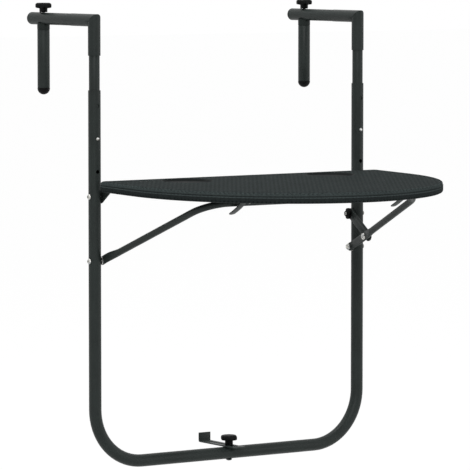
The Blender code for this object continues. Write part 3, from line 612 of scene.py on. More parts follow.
def ring(bm, centre, along, side, wide, thin, segments, power=2.0):
    """The corners of a closed ring round a centre, from a circle shaped to a rounded section."""
    across = Vector(along).normalized().cross(side)
    made = bmesh.ops.create_circle(bm, cap_ends=False, radius=1.0, segments=segments)["verts"]
    for vert in made:
        c, s = vert.co.x, vert.co.y
        u = math.copysign(abs(c) ** (2 / power), c) * wide
        v = math.copysign(abs(s) ** (2 / power), s) * thin
        vert.co = Vector(centre) + side * u + across * v
    return made


def loft(bm, rings):
    """Skins rings that have as many corners, in the same order."""
    for first, second in zip(rings, rings[1:]):
        for i, corner in enumerate(first):
            bm.faces.new((first[i - 1], corner, second[i], second[i - 1]))


def edges_of(verts):
    inside = set(verts)
    return [e for e in {e for v in verts for e in v.link_edges} if set(e.verts) <= inside]


def push(bm, edges, by, scale=1.0, centre=None):
    """Extrudes a ring straight on, or in to a smaller ring about a centre, and gives the new ring."""
    made = bmesh.ops.extrude_edge_only(bm, edges=edges)["geom"]
    fresh = [g for g in made if isinstance(g, bmesh.types.BMVert)]
    bmesh.ops.translate(bm, verts=fresh, vec=Vector(by))
    if centre is not None:
        about = Matrix.Translation(-Vector(centre))
        bmesh.ops.scale(bm, verts=fresh, vec=Vector((scale,) * 3), space=about)
    return edges_of(fresh)


def swing(bm, edges, centre, axis, angle, steps):
    """Spins a ring round a bend and gives the last ring."""
    made = bmesh.ops.spin(
        bm, geom=edges, cent=Vector(centre), axis=Vector(axis), dvec=Vector(),
        angle=angle, steps=steps, use_merge=False, use_duplicate=False,
    )["geom_last"]
    return [g for g in made if isinstance(g, bmesh.types.BMEdge)]


def turned(bm, profile, centre, axis, segments):
    """Spins (radius, height) pairs about an axis through a centre, closed where they meet it."""
    axis = Vector(axis).normalized()
    side = axis.orthogonal().normalized()
    verts = [bm.verts.new(Vector(centre) + side * r + axis * h) for r, h in profile]
    edges = [bm.edges.new(pair) for pair in zip(verts, verts[1:])]
    bmesh.ops.spin(
        bm, geom=verts + edges, cent=Vector(centre), axis=axis, dvec=Vector(),
        angle=math.tau, steps=segments, use_merge=True, use_duplicate=False,
    )


def bevel(bm, edges, offset, segments):
    bmesh.ops.bevel(
        bm, geom=edges, offset=offset, offset_type="OFFSET", affect="EDGES", segments=segments,
        profile=0.5, material=-1, clamp_overlap=True,
    )


def soften_edges(bm, offset, least=math.radians(28)):
    """Rounds every sharp edge."""
    sharp = [e for e in bm.edges if len(e.link_faces) == 2 and e.calc_face_angle(0.0) > least]
    if sharp and offset > 0:
        bevel(bm, sharp, offset, 2)


def tidy_mesh(bm):
    bmesh.ops.remove_doubles(bm, verts=bm.verts, dist=1e-6)
    bmesh.ops.recalc_face_normals(bm, faces=bm.faces)


def shade_smooth(mesh, angle):
    """Smooth shading, with edges over the angle in degrees kept sharp."""
    mesh.polygons.foreach_set("use_smooth", [True] * len(mesh.polygons))
    mesh.set_sharp_from_angle(angle=math.radians(angle))


def to_object(name, bm, finish, angle=35.0, join_seams=True):
    """A smooth-shaded object at the origin. A spun or lofted shape has its seams joined first."""
    if join_seams:
        tidy_mesh(bm)
    mesh = bpy.data.meshes.new(name)
    bm.to_mesh(mesh)
    bm.free()
    shade_smooth(mesh, angle)
    made = bpy.data.objects.new(name, mesh)
    bpy.context.scene.collection.objects.link(made)
    mesh.materials.append(finish)
    return made


def cut(target, bm, angle=35.0):
    """Takes the closed shapes in a bmesh out of an object and fixes the result in its mesh."""
    tidy_mesh(bm)
    mesh = bpy.data.meshes.new("cutter")
    bm.to_mesh(mesh)
    bm.free()
    tool = bpy.data.objects.new("cutter", mesh)
    bpy.context.scene.collection.objects.link(tool)
    step = target.modifiers.new("cut", "BOOLEAN")
    step.operation = "DIFFERENCE"
    step.solver = "EXACT"
    step.object = tool
    graph = bpy.context.evaluated_depsgraph_get()
    result = bpy.data.meshes.new_from_object(target.evaluated_get(graph), depsgraph=graph)
    if not result.polygons:
        raise RuntimeError(f"cutting {target.name} left nothing")
    target.modifiers.clear()
    target.data = result
    bpy.data.objects.remove(tool)
    shade_smooth(result, angle)


def turned_object(name, profile, centre, axis, segments, finish, angle=35.0):
    """An object spun from (radius, height) pairs."""
    bm = bmesh.new()
    turned(bm, profile, centre, axis, segments)
    return to_object(name, bm, finish, angle)


def rod(bm, centre, axis, radius, length, segments=32):
    """A closed rod for cutting a round hole."""
    half = length / 2
    turned(bm, [(0, -half), (radius, -half), (radius, half), (0, half)], centre, axis, segments)


def drilled(target, *holes, angle=35.0):
    """Cuts holes, each given as the values of a rod, out of an object."""
    bm = bmesh.new()
    for hole in holes:
        rod(bm, *hole)
    cut(target, bm, angle)


def stadium(bm, centre, half_width, back, front, thick, segments=32):
    """A closed round-ended slot cutter along Y."""
    made = bmesh.ops.create_circle(bm, cap_ends=True, radius=half_width, segments=segments)["verts"]
    for vert in made:
        vert.co.y += front if vert.co.y > 1e-9 else back
    face = list({face for vert in made for face in vert.link_faces})
    bmesh.ops.translate(bm, verts=made, vec=Vector(centre) - Z * thick / 2)
    grown = bmesh.ops.extrude_face_region(bm, geom=face, use_keep_orig=True)["geom"]
    bmesh.ops.translate(bm, verts=[g for g in grown if isinstance(g, bmesh.types.BMVert)], vec=Z * thick)


def stand_in(piece, body, node):
    """Puts a finished piece on its body in place of its CAD node."""
    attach(piece, body)
    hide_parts(node)
    return piece


def body_of(node):
    for body, members in frame["record"]["behaviour"]["bodies"].items():
        if node in members:
            return body
    raise RuntimeError(f"no body holds {node}")


def merged(node, slot, offset=None, angle=35.0, first=None):
    """A merged copy of a CAD node with its coplanar triangles joined and its edges rounded.

    A function given as first shapes the copy before its edges are rounded.
    """
    bm = bmesh.new()
    bm.from_mesh(frame["nodes"][node].data)
    bmesh.ops.remove_doubles(bm, verts=bm.verts, dist=2e-6)
    bmesh.ops.dissolve_limit(
        bm, angle_limit=math.radians(1.5), use_dissolve_boundaries=False, verts=bm.verts, edges=bm.edges
    )
    if first:
        first(bm)
    soften_edges(bm, settings().fitting.softening if offset is None else offset)
    return to_object(f"{node}_finished", bm, FINISHES[slot](), angle, join_seams=False)


def softened(node, slot, offset=None, angle=35.0, first=None):
    """A merged copy that stands in for its CAD node."""
    return stand_in(merged(node, slot, offset, angle, first), body_of(node), node)


def round_tip(bm):
    """Rounds the rear end of a strip that runs front to back, at its two short edges."""
    rear, longest = max(v.co.y for v in bm.verts), 0.002
    at_rear = [e for e in bm.edges if min(v.co.y for v in e.verts) > rear - longest]
    bevel(bm, [e for e in at_rear if e.calc_length() < longest], settings().fitting.strip_corner, 6)


def straight_tube(name, node, x, y, segments):
    """An open round tube along Z with rounded rims, as wide and long as a CAD tube."""
    tube = settings().tube
    bottom, top, radius = low(node).z, high(node).z, span(node).x / 2
    bore, rim = radius - tube.wall, tube.rim
    eased = rim * 0.3
    profile = [
        (bore, bottom + rim), (bore + eased, bottom + eased), (bore + rim, bottom), (radius - rim, bottom),
        (radius - eased, bottom + eased), (radius, bottom + rim), (radius, top - rim),
        (radius - eased, top - eased), (radius - rim, top), (bore + rim, top),
        (bore + eased, top - eased), (bore, top - rim), (bore, bottom + rim),
    ]
    return turned_object(name, profile, (x, y, 0), Z, segments, powder_coat())


# Pieces


class FrameOperator(bpy.types.Operator):
    """Bends the lower frame's tube to its U and drills its holes"""

    bl_idname = "balcony_table.lower_frame"
    bl_label = "Lower frame"

    def execute(self, context):
        tube = settings().tube
        top = high("lower_frame").z
        x, y, bend = UPRIGHT.x, UPRIGHT.y, tube.bend_radius
        left = Vector((bend - x, y, BOTTOM_Z + bend))
        right = Vector((x - bend, y, BOTTOM_Z + bend))
        down, across = Z * (BOTTOM_Z + bend - top), X * 2 * (x - bend)
        quarter, narrow = math.pi / 2, (TUBE_R - tube.wall) / TUBE_R
        bm = bmesh.new()
        edges = edges_of(ring(bm, (-x, y, top), Z, X, TUBE_R, TUBE_R, tube.segments))
        edges = self.round_the_u(bm, edges, down, across, (left, right), -quarter)
        edges = push(bm, edges, (0, 0, 0), narrow, (x, y, top))
        edges = self.round_the_u(bm, edges, down, -across, (right, left), quarter)
        push(bm, edges, (0, 0, 0), 1 / narrow, (-x, y, top))
        bmesh.ops.remove_doubles(bm, verts=bm.verts, dist=1e-5)
        frame_tube = to_object("lower_frame_tube", bm, powder_coat())
        holes = [((0, y, BOTTOM_Z), Z, tube.bolt_hole, BOTH_WALLS)]
        for word, side in SIDES:
            for step in (-1, 0, 1):
                at = (side * x, y - TUBE_R, button_height(word) + step * tube.hole_pitch)
                holes.append((at, Y, tube.hole_radius, ONE_WALL))
            for z in (TABLE_PIVOT_Z, BRACE_PIVOT_Z) + ((STUD_Z,) if side > 0 else ()):
                holes.append(((side * x, y, z), X, tube.bolt_hole, BOTH_WALLS))
        drilled(frame_tube, *holes)
        stand_in(frame_tube, "frame", "lower_frame")
        return {"FINISHED"}

    def round_the_u(self, bm, edges, down, across, bends, angle):
        """Takes a ring down one upright, round both bends and up the other."""
        steps = settings().tube.bend_steps
        edges = swing(bm, push(bm, edges, down), bends[0], Y, angle, steps)
        edges = swing(bm, push(bm, edges, across), bends[1], Y, angle, steps)
        return push(bm, edges, -down)


def hook_arm_mesh(x, tube):
    """The mitred hook: a sleeve, a square corner with a seam and a level arm, outside and inside."""
    corner = Vector((x, UPRIGHT.y, ARM_Z))
    bottom, end = low("right_hook_arm").z - ARM_Z, high("right_hook_arm").y - UPRIGHT.y
    seam, diagonal = tube.seam, math.sqrt(2)
    bm = bmesh.new()
    walls = []
    for less in (0.0, tube.wall):
        sleeve, arm = TUBE_R - less, ARM_R - less
        mitred = (sleeve + arm) / 2
        stations = (
            (Z * bottom, Z, sleeve, 1.0),
            (Z * -tube.mitre, Z, sleeve, 1.0),
            (Z * -seam, Y + Z, mitred, diagonal),
            (Vector(), Y + Z, mitred - seam, diagonal),
            (Y * seam, Y + Z, mitred, diagonal),
            (Y * tube.mitre, Y, arm, 1.0),
            (Y * end, Y, arm, 1.0),
        )
        walls.append([
            ring(bm, corner + run, along, X, radius, radius * stretch, tube.segments)
            for run, along, radius, stretch in stations
        ])
    outer, inner = walls
    loft(bm, outer + inner[::-1] + outer[:1])
    return bm


class HooksOperator(bpy.types.Operator):
    """Builds both hooks: sleeve and arm, end cap, inner tube and snap clip"""

    bl_idname = "balcony_table.hooks"
    bl_label = "Hooks"

    def execute(self, context):
        tube = settings().tube
        for word, side in SIDES:
            x = side * UPRIGHT.x
            self.arm(word, x, tube)
            self.end_cap(word, x, tube)
            self.inner_tube(word, x, tube)
            self.flexing_clip(word, x, tube)
        return {"FINISHED"}

    def arm(self, word, x, tube):
        piece = to_object(f"{word}_hook_tube", hook_arm_mesh(x, tube), powder_coat(), 50.0)
        joint = next(j for j in frame["joints"] if j["name"] == f"{word}_clamp_slide")
        back, front = (LEG_Y + travel for travel in joint["range_m"])
        slot = bmesh.new()
        play = tube.slot_play
        stadium(slot, (x, 0, ARM_Z), tube.bolt_hole, back - play, front + play, 0.05)
        cut(piece, slot, 50.0)
        stand_in(piece, f"{word}_hook", f"{word}_hook_arm")

    def end_cap(self, word, x, tube):
        bore = ARM_R - tube.wall - CAP_GAP
        profile = [
            (0, -0.012), (bore - 0.0006, -0.012), (bore, -0.0105), (bore, CAP_GAP),
            (ARM_R - 0.0003, CAP_GAP), (ARM_R, 0.0007), (ARM_R, 0.0018), (ARM_R * 0.965, 0.0028),
            (ARM_R * 0.87, 0.0036), (ARM_R * 0.70, 0.0042), (ARM_R * 0.45, 0.0046), (0, 0.0046),
        ]
        face = (x, high("right_hook_arm").y, ARM_Z)
        plug = turned_object(f"{word}_end_plug", profile, face, Y, CAP_SIDES, black_plastic())
        stand_in(plug, f"{word}_hook", f"{word}_arm_end_cap")

    def inner_tube(self, word, x, tube):
        node = f"{word}_inner_tube"
        piece = straight_tube(f"{word}_telescoping_tube", node, x, UPRIGHT.y, tube.segments)
        front = (x, UPRIGHT.y - span(node).x / 2, button_height(word))
        drilled(piece, (front, Y, tube.bolt_hole, ONE_WALL))
        stand_in(piece, f"{word}_hook", node)

    def flexing_clip(self, word, x, tube):
        """The spring strip: a merged zinc copy of the CAD clip, with its edges left sharp."""
        node = f"{word}_snap_clip"
        clip = merged(node, "zinc_plated_steel", 0.0)
        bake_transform(clip)
        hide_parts(node)


def button_height(word):
    """Axis of the snap button, from the tip that stands out in front."""
    mesh, tip = frame["nodes"][f"{word}_snap_clip"].data, 0.0014
    front = low(f"{word}_snap_clip").y
    heights = [v.co.z for v in mesh.vertices if v.co.y < front + tip]
    return (min(heights) + max(heights)) / 2


class ClampsOperator(bpy.types.Operator):
    """Builds both clamps: leg, saddle cap, foot cap, bolt and knob"""

    bl_idname = "balcony_table.clamps"
    bl_label = "Clamps"

    def execute(self, context):
        tube = settings().tube
        for word, side in SIDES:
            x = side * UPRIGHT.x
            leg = f"{word}_clamp_leg"
            radius = span(leg).x / 2
            piece = straight_tube(f"{word}_leg_tube", leg, x, LEG_Y, tube.segments)
            stand_in(piece, f"{word}_clamp", leg)
            self.foot(word, x, radius, radius - tube.wall - CAP_GAP)
            self.saddle(word, x, radius, radius - tube.wall - CAP_GAP)
            softened(f"{word}_clamp_bolt", "zinc_plated_steel", THIN_EDGE)
            knob(f"{word}_clamp_knob", f"{word}_knob", (x, LEG_Y, low(f"{word}_clamp_knob").z))
        return {"FINISHED"}

    def foot(self, word, x, radius, plug):
        node = f"{word}_foot_cap"
        bottom, top = low(node).z, high(node).z
        seat, rim = low(f"{word}_clamp_leg").z - CAP_GAP, radius + THIN_EDGE
        profile = [(0, top), (plug - 0.0009, top), (plug, top - 0.0018), (plug, seat)]
        profile += [(rim - THIN_EDGE, seat), (rim, seat - THIN_EDGE)]
        for degrees in range(0, 90, 6):
            angle = math.radians(degrees)
            profile.append((rim * math.cos(angle), bottom + rim * (1 - math.sin(angle))))
        profile.append((0, bottom))
        dome = turned_object(f"{word}_foot_dome", profile, (x, LEG_Y, 0), Z, CAP_SIDES, black_plastic())
        stand_in(dome, f"{word}_clamp", node)

    def saddle(self, word, x, radius, plug):
        node = f"{word}_saddle_cap"
        foot, top = low(node).z, 0.0028
        seat, rim = high(f"{word}_clamp_leg").z + CAP_GAP, radius + THIN_EDGE
        profile = [
            (0, foot), (plug - 0.0008, foot), (plug, foot + 0.0015), (plug, seat), (rim - 0.0003, seat),
            (rim, seat + 0.0004), (rim, top - 0.0003), (rim - 0.0003, top), (0, top),
        ]
        piece = turned_object(f"{word}_saddle", profile, (x, LEG_Y, 0), Z, CAP_SIDES, charcoal_plastic())
        drilled(piece, ((x, LEG_Y, ARM_Z), Y, ARM_R + CAP_GAP, 0.04, 64))
        drilled(piece, ((x, LEG_Y, -0.01), Z, settings().tube.bolt_hole, 0.06))
        stand_in(piece, f"{word}_clamp", node)


def knob(node, body, foot):
    """A lobed knob on a round neck, with a shallow dish and a raised rim on its head."""
    size = settings().fitting
    head, r, stem_r = size.knob_height, size.knob_radius, size.stem_radius
    stem = span(node).z - head
    top, bore, dish = stem + head, 0.0033, 0.58
    profile = [
        (0, stem + bore), (bore, stem + bore), (bore, 0), (stem_r - 0.0004, 0), (stem_r, 0.0005),
        (stem_r, stem - 0.0014), (stem_r + 0.0006, stem - 0.0005),
    ]
    rounded = (
        (0.80, 0.0), (0.94, 0.06), (0.985, 0.17), (1.0, 0.34), (1.0, 0.60),
        (0.98, 0.74), (0.93, 0.86), (0.84, 0.95), (0.72, 1.0),
    )
    profile += [(r * out, stem + head * up) for out, up in rounded]
    dished = ((0.60, 0.0002), (0.53, 0.0008), (0.34, 0.0010), (0.0, 0.0010))
    profile += [(r * out, top - down) for out, down in dished]
    bm = bmesh.new()
    turned(bm, profile, (0, 0, 0), Z, 96)
    tidy_mesh(bm)
    for vert in bm.verts:
        out = math.hypot(vert.co.x, vert.co.y)
        if out < r * dish or vert.co.z < stem - 1e-6:
            continue
        lobe = 0.055 * min(1.0, (out / r - dish) / 0.3)
        wave = math.cos(size.lobes * math.atan2(vert.co.y, vert.co.x))
        vert.co.xy *= 1 + lobe * (wave - 1)
    bmesh.ops.translate(bm, verts=bm.verts, vec=Vector(foot))
    stand_in(to_object(f"{node}_grip", bm, black_plastic(), 42.0), body, node)


# Table top


def top_outline(top, steps=96):
    """Half of an oval in front of straight sides, with rounded back corners, as (x, forward) pairs."""
    half, corner = top.width / 2, top.corner
    points = []
    for i in range(9):
        angle = math.radians(-90 + 90 * i / 8)
        points.append((half - corner + corner * math.cos(angle), corner + corner * math.sin(angle)))
    for i in range(steps + 1):
        angle = math.pi * i / steps
        c, s = math.cos(angle), math.sin(angle)
        x = math.copysign(abs(c) ** 1.05, c) * half
        points.append((x, top.straight + (top.depth - top.straight) * abs(s) ** 0.95))
    for i in range(9):
        angle = math.radians(180 + 90 * i / 8)
        points.append((corner - half + corner * math.cos(angle), corner + corner * math.sin(angle)))
    return points


def inset(points, by):
    """The outline moved inwards along its own normals."""
    moved = []
    for i, point in enumerate(points):
        before, after = points[i - 1], points[(i + 1) % len(points)]
        run = Vector((after[0] - before[0], after[1] - before[1])).normalized()
        moved.append((point[0] - run.y * by, point[1] + run.x * by))
    return moved


def outline_ring(bm, points, height):
    """The outline as a ring of edges in the top's own plane."""
    made = bmesh.ops.create_circle(bm, cap_ends=False, radius=1.0, segments=len(points))["verts"]
    for vert, (x, forward) in zip(made, points):
        vert.co = Vector((x, -forward, height))
    return made


def map_weave(mesh, points):
    """Lays the weave flat on the top and along the outline on the rim, in metres."""
    runs = [0.0]
    for a, b in zip(points, points[1:] + points[:1]):
        runs.append(runs[-1] + math.dist(a, b))
    total = runs[-1]
    layer = mesh.uv_layers.new(name="weave")
    for face in mesh.polygons:
        places = [mesh.vertices[vertex].co for vertex in face.vertices]
        if abs(face.normal.z) > LEVEL_NORMAL:
            spots = [(place.x, place.y) for place in places]
        else:
            spots = []
            for place in places:
                nearest = min(range(len(points)), key=lambda i: math.dist(points[i], (place.x, -place.y)))
                spots.append((runs[nearest], place.z))
            widest = max(u for u, _ in spots)
            spots = [(u + total if widest - u > total / 2 else u, v) for u, v in spots]
        for loop, spot in zip(face.loop_indices, spots):
            layer.data[loop].uv = spot


def top_place(top):
    """From the top's own plane, its back edge at y = 0 and the hinge at z = 0, to its place."""
    hinge = Matrix.Translation((0, UPRIGHT.y, TABLE_PIVOT_Z)) @ Matrix.Rotation(TOP_TILT, 4, "X")
    return hinge @ Matrix.Translation((0, -top.back, 0))


class TopOperator(bpy.types.Operator):
    """Moulds the half-oval table top with its weave and its two round recesses"""

    bl_idname = "balcony_table.table_top"
    bl_label = "Table top"

    def execute(self, context):
        top = settings().top
        place = top_place(top)
        outline = top_outline(top)
        under, upper = top.over_pivot, top.over_pivot + top.thickness
        bm = bmesh.new()
        rings = [outline_ring(bm, inset(outline, by), z) for by, z in self.rim_steps(top, under, upper)]
        loft(bm, rings)
        bm.faces.new(rings[0])
        bm.faces.new(rings[-1])
        piece = to_object("woven_table_top", bm, woven_board(), 40.0)
        piece.data.materials.append(board_underside())
        # The third slot holds painted shade for the recesses.
        piece.data.materials.append(recess_painted_shade())
        cutter = bmesh.new()
        self.recesses(cutter, top, upper)
        self.pilot_holes(cutter, place.inverted(), under)
        cut(piece, cutter, 40.0)
        map_weave(piece.data, outline)
        depths = piece.data.attributes.new("rim_depth", "FLOAT", "POINT")
        for vertex in piece.data.vertices:
            depths.data[vertex.index].value = upper - vertex.co.z
        self.share_out(piece.data, top, under, upper)
        piece.data.transform(place)
        stand_in(piece, "table", "table_top")
        return {"FINISHED"}

    def rim_steps(self, top, under, upper):
        """The rim's section from the underside to the top, as insets from the outline and heights."""
        r, bead = top.edge, top.bead
        lip = upper - r * LIP_SHARE
        lower = ((0.95, 0.0), (0.55, 0.04), (0.22, 0.20), (0.04, 0.52), (0.0, 0.85))
        beaded = (
            (0.0, -1.6), (0.5, -1.5), (0.5, -1.0), (0.0, -0.5),
            (0.0, 0.1), (0.35, 0.5), (0.9, 0.6), (0.9, 0.9),
        )
        rounded = ((0.17, 0.52), (0.32, 0.31), (0.55, 0.14), (0.82, 0.05), (1.15, 0.01), (1.4, 0.0))
        steps = [(r * by, under + r * up) for by, up in lower]
        steps += [(bead * by, lip + bead * up) for by, up in beaded]
        return steps + [(r * by, upper - r * down) for by, down in rounded]

    def recesses(self, cutter, top, upper):
        edge, floor, over = top.recess_radius, upper - top.recess_depth, upper + 0.001
        profile = [
            (0, floor), (edge - 0.0042, floor), (edge - 0.0030, floor + 0.0004),
            (edge - 0.0022, floor + 0.0013), (edge - 0.0004, upper - 0.0009),
            (edge + 0.0006, upper), (edge + 0.0012, over), (0, over),
        ]
        for _, side in SIDES:
            turned(cutter, profile, (side * top.recess_x, -top.recess_back, 0), Z, 72)

    def pilot_holes(self, cutter, to_plane, under):
        for word, _ in SIDES:
            for name in TOP_SCREWS:
                at = to_plane @ middle(f"{word}_{name}")
                rod(cutter, (at.x, at.y, under), Z, settings().fitting.pilot_radius, 0.026, 16)

    def share_out(self, mesh, top, under, upper):
        """Gives the underside its own finish, and gives the recesses a much darker copy of the board colour as
        painted shade.
        """
        underside, shaded_recess = 1, 2
        recess = (top.recess_x, -top.recess_back)
        for face in mesh.polygons:
            centre = face.center
            from_recess = math.dist((abs(centre.x), centre.y), recess)
            hollow = from_recess < top.recess_radius + 0.0005
            if hollow and under + 0.001 < centre.z < upper - 0.0001:
                face.material_index = shaded_recess
            elif face.normal.z < -LEVEL_NORMAL:
                face.material_index = underside


def pan_screw(node):
    """A screw driven up into the top: domed head with a cross recess, and a coarse thread."""
    axis = (Matrix.Rotation(TOP_TILT, 3, "X") @ Z).normalized()
    reach = [v.co.dot(axis) for v in frame["nodes"][node].data.vertices]
    centre = middle(node)
    crown = centre + axis * (min(reach) - centre.dot(axis))
    length = max(reach) - min(reach)
    head_r, shank, dome, pitch = 0.0040, 0.0020, 0.0021, 0.0016
    profile = [(0, 0), (head_r * 0.45, 0.00006), (head_r * 0.72, 0.0005), (head_r * 0.92, 0.0011)]
    profile += [(head_r, 0.0017), (head_r, dome), (shank, dome)]
    at = dome + 0.0022
    while at + pitch < length - 0.001:
        profile += [(shank - 0.0005, at), (shank, at + pitch * 0.5)]
        at += pitch
    profile += [(shank - 0.0006, length - 0.0008), (shank - 0.0012, length), (0, length)]
    screw = turned_object(f"{node}_turned", profile, crown, axis, 28, zinc_plate())
    width, arms, depth = settings().fitting.cross_width, head_r * 1.15, 0.0024
    for sizes in ((arms, width, depth), (width, arms, depth)):
        recess = bmesh.new()
        made = bmesh.ops.create_cube(recess, size=1.0)["verts"]
        bmesh.ops.scale(recess, verts=made, vec=Vector(sizes))
        bmesh.ops.translate(recess, verts=made, vec=crown)
        cut(screw, recess)
    stand_in(screw, body_of(node), node)


class HingesOperator(bpy.types.Operator):
    """Finishes the hinge brackets with their screws, and the crossbar catches"""

    bl_idname = "balcony_table.hinges"
    bl_label = "Brackets and catches"

    def execute(self, context):
        for word, _ in SIDES:
            softened(f"{word}_hinge_bracket", "powder_coated_steel")
            softened(f"{word}_crossbar_catch", "powder_coated_steel", THIN_EDGE, first=round_tip)
            for name in TOP_SCREWS:
                pan_screw(f"{word}_{name}")
        return {"FINISHED"}


class BoltsOperator(bpy.types.Operator):
    """Finishes the pivot bolts, nuts and washers, and the latch's stud"""

    bl_idname = "balcony_table.bolts"
    bl_label = "Bolts and nuts"

    def execute(self, context):
        for word, _ in SIDES:
            for place in ("hinge", "brace"):
                self.domed_bolt(f"{word}_{place}_bolt")
                softened(f"{word}_{place}_nut", "zinc_plated_steel", PRESSED_EDGE, 30.0)
                softened(f"{word}_{place}_washer", "zinc_plated_steel", THIN_EDGE)
        self.domed_bolt("latch_stud")
        softened("latch_washer", "zinc_plated_steel", THIN_EDGE)
        return {"FINISHED"}

    def domed_bolt(self, node):
        """A bolt along X with a round socket head and a threaded tip, which is hollow on the latch's stud."""
        z = middle(node).z
        side = 1 if middle(node).x > 0 else -1
        tip, crown = (low(node).x, high(node).x)[::side]
        seat = side * (UPRIGHT.x + TUBE_R + CAP_GAP)
        dome, length = abs(crown - seat), abs(seat - tip)
        shank, pitch, groove = 0.003, 0.0010, 0.00035
        head = ((0, 1.0), (0.0018, 0.96), (0.0031, 0.82), (0.0042, 0.56), (0.0048, 0.28), (0.0050, 0.08))
        profile = [(radius, dome * height) for radius, height in head] + [(0.0050, 0.0), (shank, 0.0)]
        thread_start = min(0.030, length * 0.7)
        profile.append((shank, -thread_start))
        for i in range(int((length - thread_start - 0.0006) / pitch)):
            at = thread_start + i * pitch
            profile += [(shank - groove, -(at + pitch * 0.35)), (shank, -(at + pitch * 0.85))]
        profile += [(shank - 0.0006, -length), (0, -length)]
        under_head = (seat, UPRIGHT.y, z)
        bolt = turned_object(f"{node}_turned", profile, under_head, X * side, 32, zinc_plate(), 40.0)
        mouth = (seat + side * dome, UPRIGHT.y, z)
        hollows = [(mouth, X, settings().fitting.socket_radius, dome * 1.3, 6)]
        if node == "latch_stud":
            hollows.append(((tip, UPRIGHT.y, z), X, shank * 0.5, 0.004))
        drilled(bolt, *hollows, angle=40.0)
        stand_in(bolt, body_of(node), node)


# Brace and latch


def crossbar_ring():
    """Centre and radius of the CAD brace's crossbar, at its middle."""
    points = [v.co for v in frame["nodes"]["folding_brace"].data.vertices]
    inmost = min(abs(p.x) for p in points)
    across = [p for p in points if abs(p.x) < inmost + 0.0005]
    least, most = (Vector([pick(p[axis] for p in across) for axis in range(3)]) for pick in (min, max))
    return (least + most) / 2, (most.z - least.z) / 2


def brace_tilt():
    """How far the brace rises from its pivot to its crossbar."""
    centre = crossbar_ring()[0]
    return math.atan2(centre.z - BRACE_PIVOT_Z, UPRIGHT.y - centre.y)


def brace_leg(flat_run, offset, corner_x):
    """Half of the brace, flat and level: stations of (x, reach, tangent, thin, wide, power).

    The flat ends flat_run beyond the first kink, and the round bar runs offset inboard of it to its
    corner at corner_x.
    """
    size = settings().brace
    level = Matrix.Rotation(brace_tilt(), 4, "X") @ Matrix.Translation((0, -UPRIGHT.y, -BRACE_PIVOT_Z))
    spots = [level @ v.co for v in frame["nodes"]["folding_brace"].data.vertices]
    bar = crossbar_ring()[1]
    slant = -min(s.y for s in spots) - bar
    half_t, half_w, straight, bend = size.flat_thickness / 2, size.flat_width / 2, size.straight, size.bend
    square, swage_rings, bend_rings = 4.0, 8, 18
    leg_x = max(s.x for s in spots) - half_t
    leg = Vector((corner_x - leg_x + offset, slant - straight)).normalized()
    half = []
    for s in (-0.97, -0.90, -0.78, -0.60, -0.38, -0.14, 0.12):
        half.append((leg_x, s * half_w, (0, 1), half_t, half_w * math.sqrt(1 - min(s, 0.0) ** 2), square))
    half.append((leg_x, straight - 0.004, (0, 1), half_t, half_w, square))
    half.append((leg_x, straight, (leg.x / 2, (1 + leg.y) / 2), half_t, half_w, square))

    def on_leg(run, swell):
        x = leg_x - offset * swell + leg.x * run
        thin, wide = half_t + (bar - half_t) * swell, half_w + (bar - half_w) * swell
        half.append((x, straight + leg.y * run, tuple(leg), thin, wide, square - 2.0 * swell))

    on_leg(0.004, 0.0)
    on_leg(flat_run, 0.0)
    for i in range(1, swage_rings + 1):
        grown = i / swage_rings
        on_leg(flat_run + size.swage * grown, grown**2 * (3 - 2 * grown))
    turn = math.pi / 2 - math.atan2(-leg.x, leg.y)
    start = Vector((corner_x, slant)) - leg * bend * math.tan(turn / 2)
    inward = Vector((-leg.y, leg.x))
    centre = start + inward * bend
    for i in range(bend_rings + 1):
        angle = turn * i / bend_rings
        point = centre + (leg * math.sin(angle) - inward * math.cos(angle)) * bend
        run = leg * math.cos(angle) + inward * math.sin(angle)
        half.append((point.x, point.y, tuple(run), bar, bar, 2.0))
    return half


def brace_rings(bm, segments):
    """Rings of the brace, flat and level along -Y, from the right leg's end to the left leg's end."""
    size = settings().brace
    flush = crossbar_ring()[1] - size.flat_thickness / 2
    right = brace_leg(size.right_flat, 0.0, size.right_corner)
    left = brace_leg(size.left_flat, flush, size.left_corner)
    rings = []
    for mirror, stations in ((1, right), (-1, left[::-1])):
        for x, reach, tangent, thin, wide, power in stations:
            along = Vector((tangent[0], -mirror * tangent[1], 0))
            rings.append(ring(bm, (mirror * x, -reach, 0), along, Z, wide, thin, segments, power))
    return rings


class BraceOperator(bpy.types.Operator):
    """Bends the folding brace with its flattened ends"""

    bl_idname = "balcony_table.brace"
    bl_label = "Folding brace"

    def execute(self, context):
        bore, leg_inset = settings().tube.bolt_hole, 0.0156
        bm = bmesh.new()
        rings = brace_rings(bm, 32)
        loft(bm, rings)
        bm.faces.new(rings[0])
        bm.faces.new(rings[-1])
        place = Matrix.Translation((0, UPRIGHT.y, BRACE_PIVOT_Z)) @ Matrix.Rotation(-brace_tilt(), 4, "X")
        bmesh.ops.transform(bm, matrix=place, verts=bm.verts)
        piece = to_object("brace_bar", bm, powder_coat(), 40.0)
        holes = [((RIVET.x - 0.002, RIVET.y, RIVET.z), X, bore, 0.016)]
        for _, side in SIDES:
            holes.append(((side * (UPRIGHT.x - leg_inset), UPRIGHT.y, BRACE_PIVOT_Z), X, bore, 0.012))
        drilled(piece, *holes, angle=40.0)
        stand_in(piece, "brace", "folding_brace")
        return {"FINISHED"}


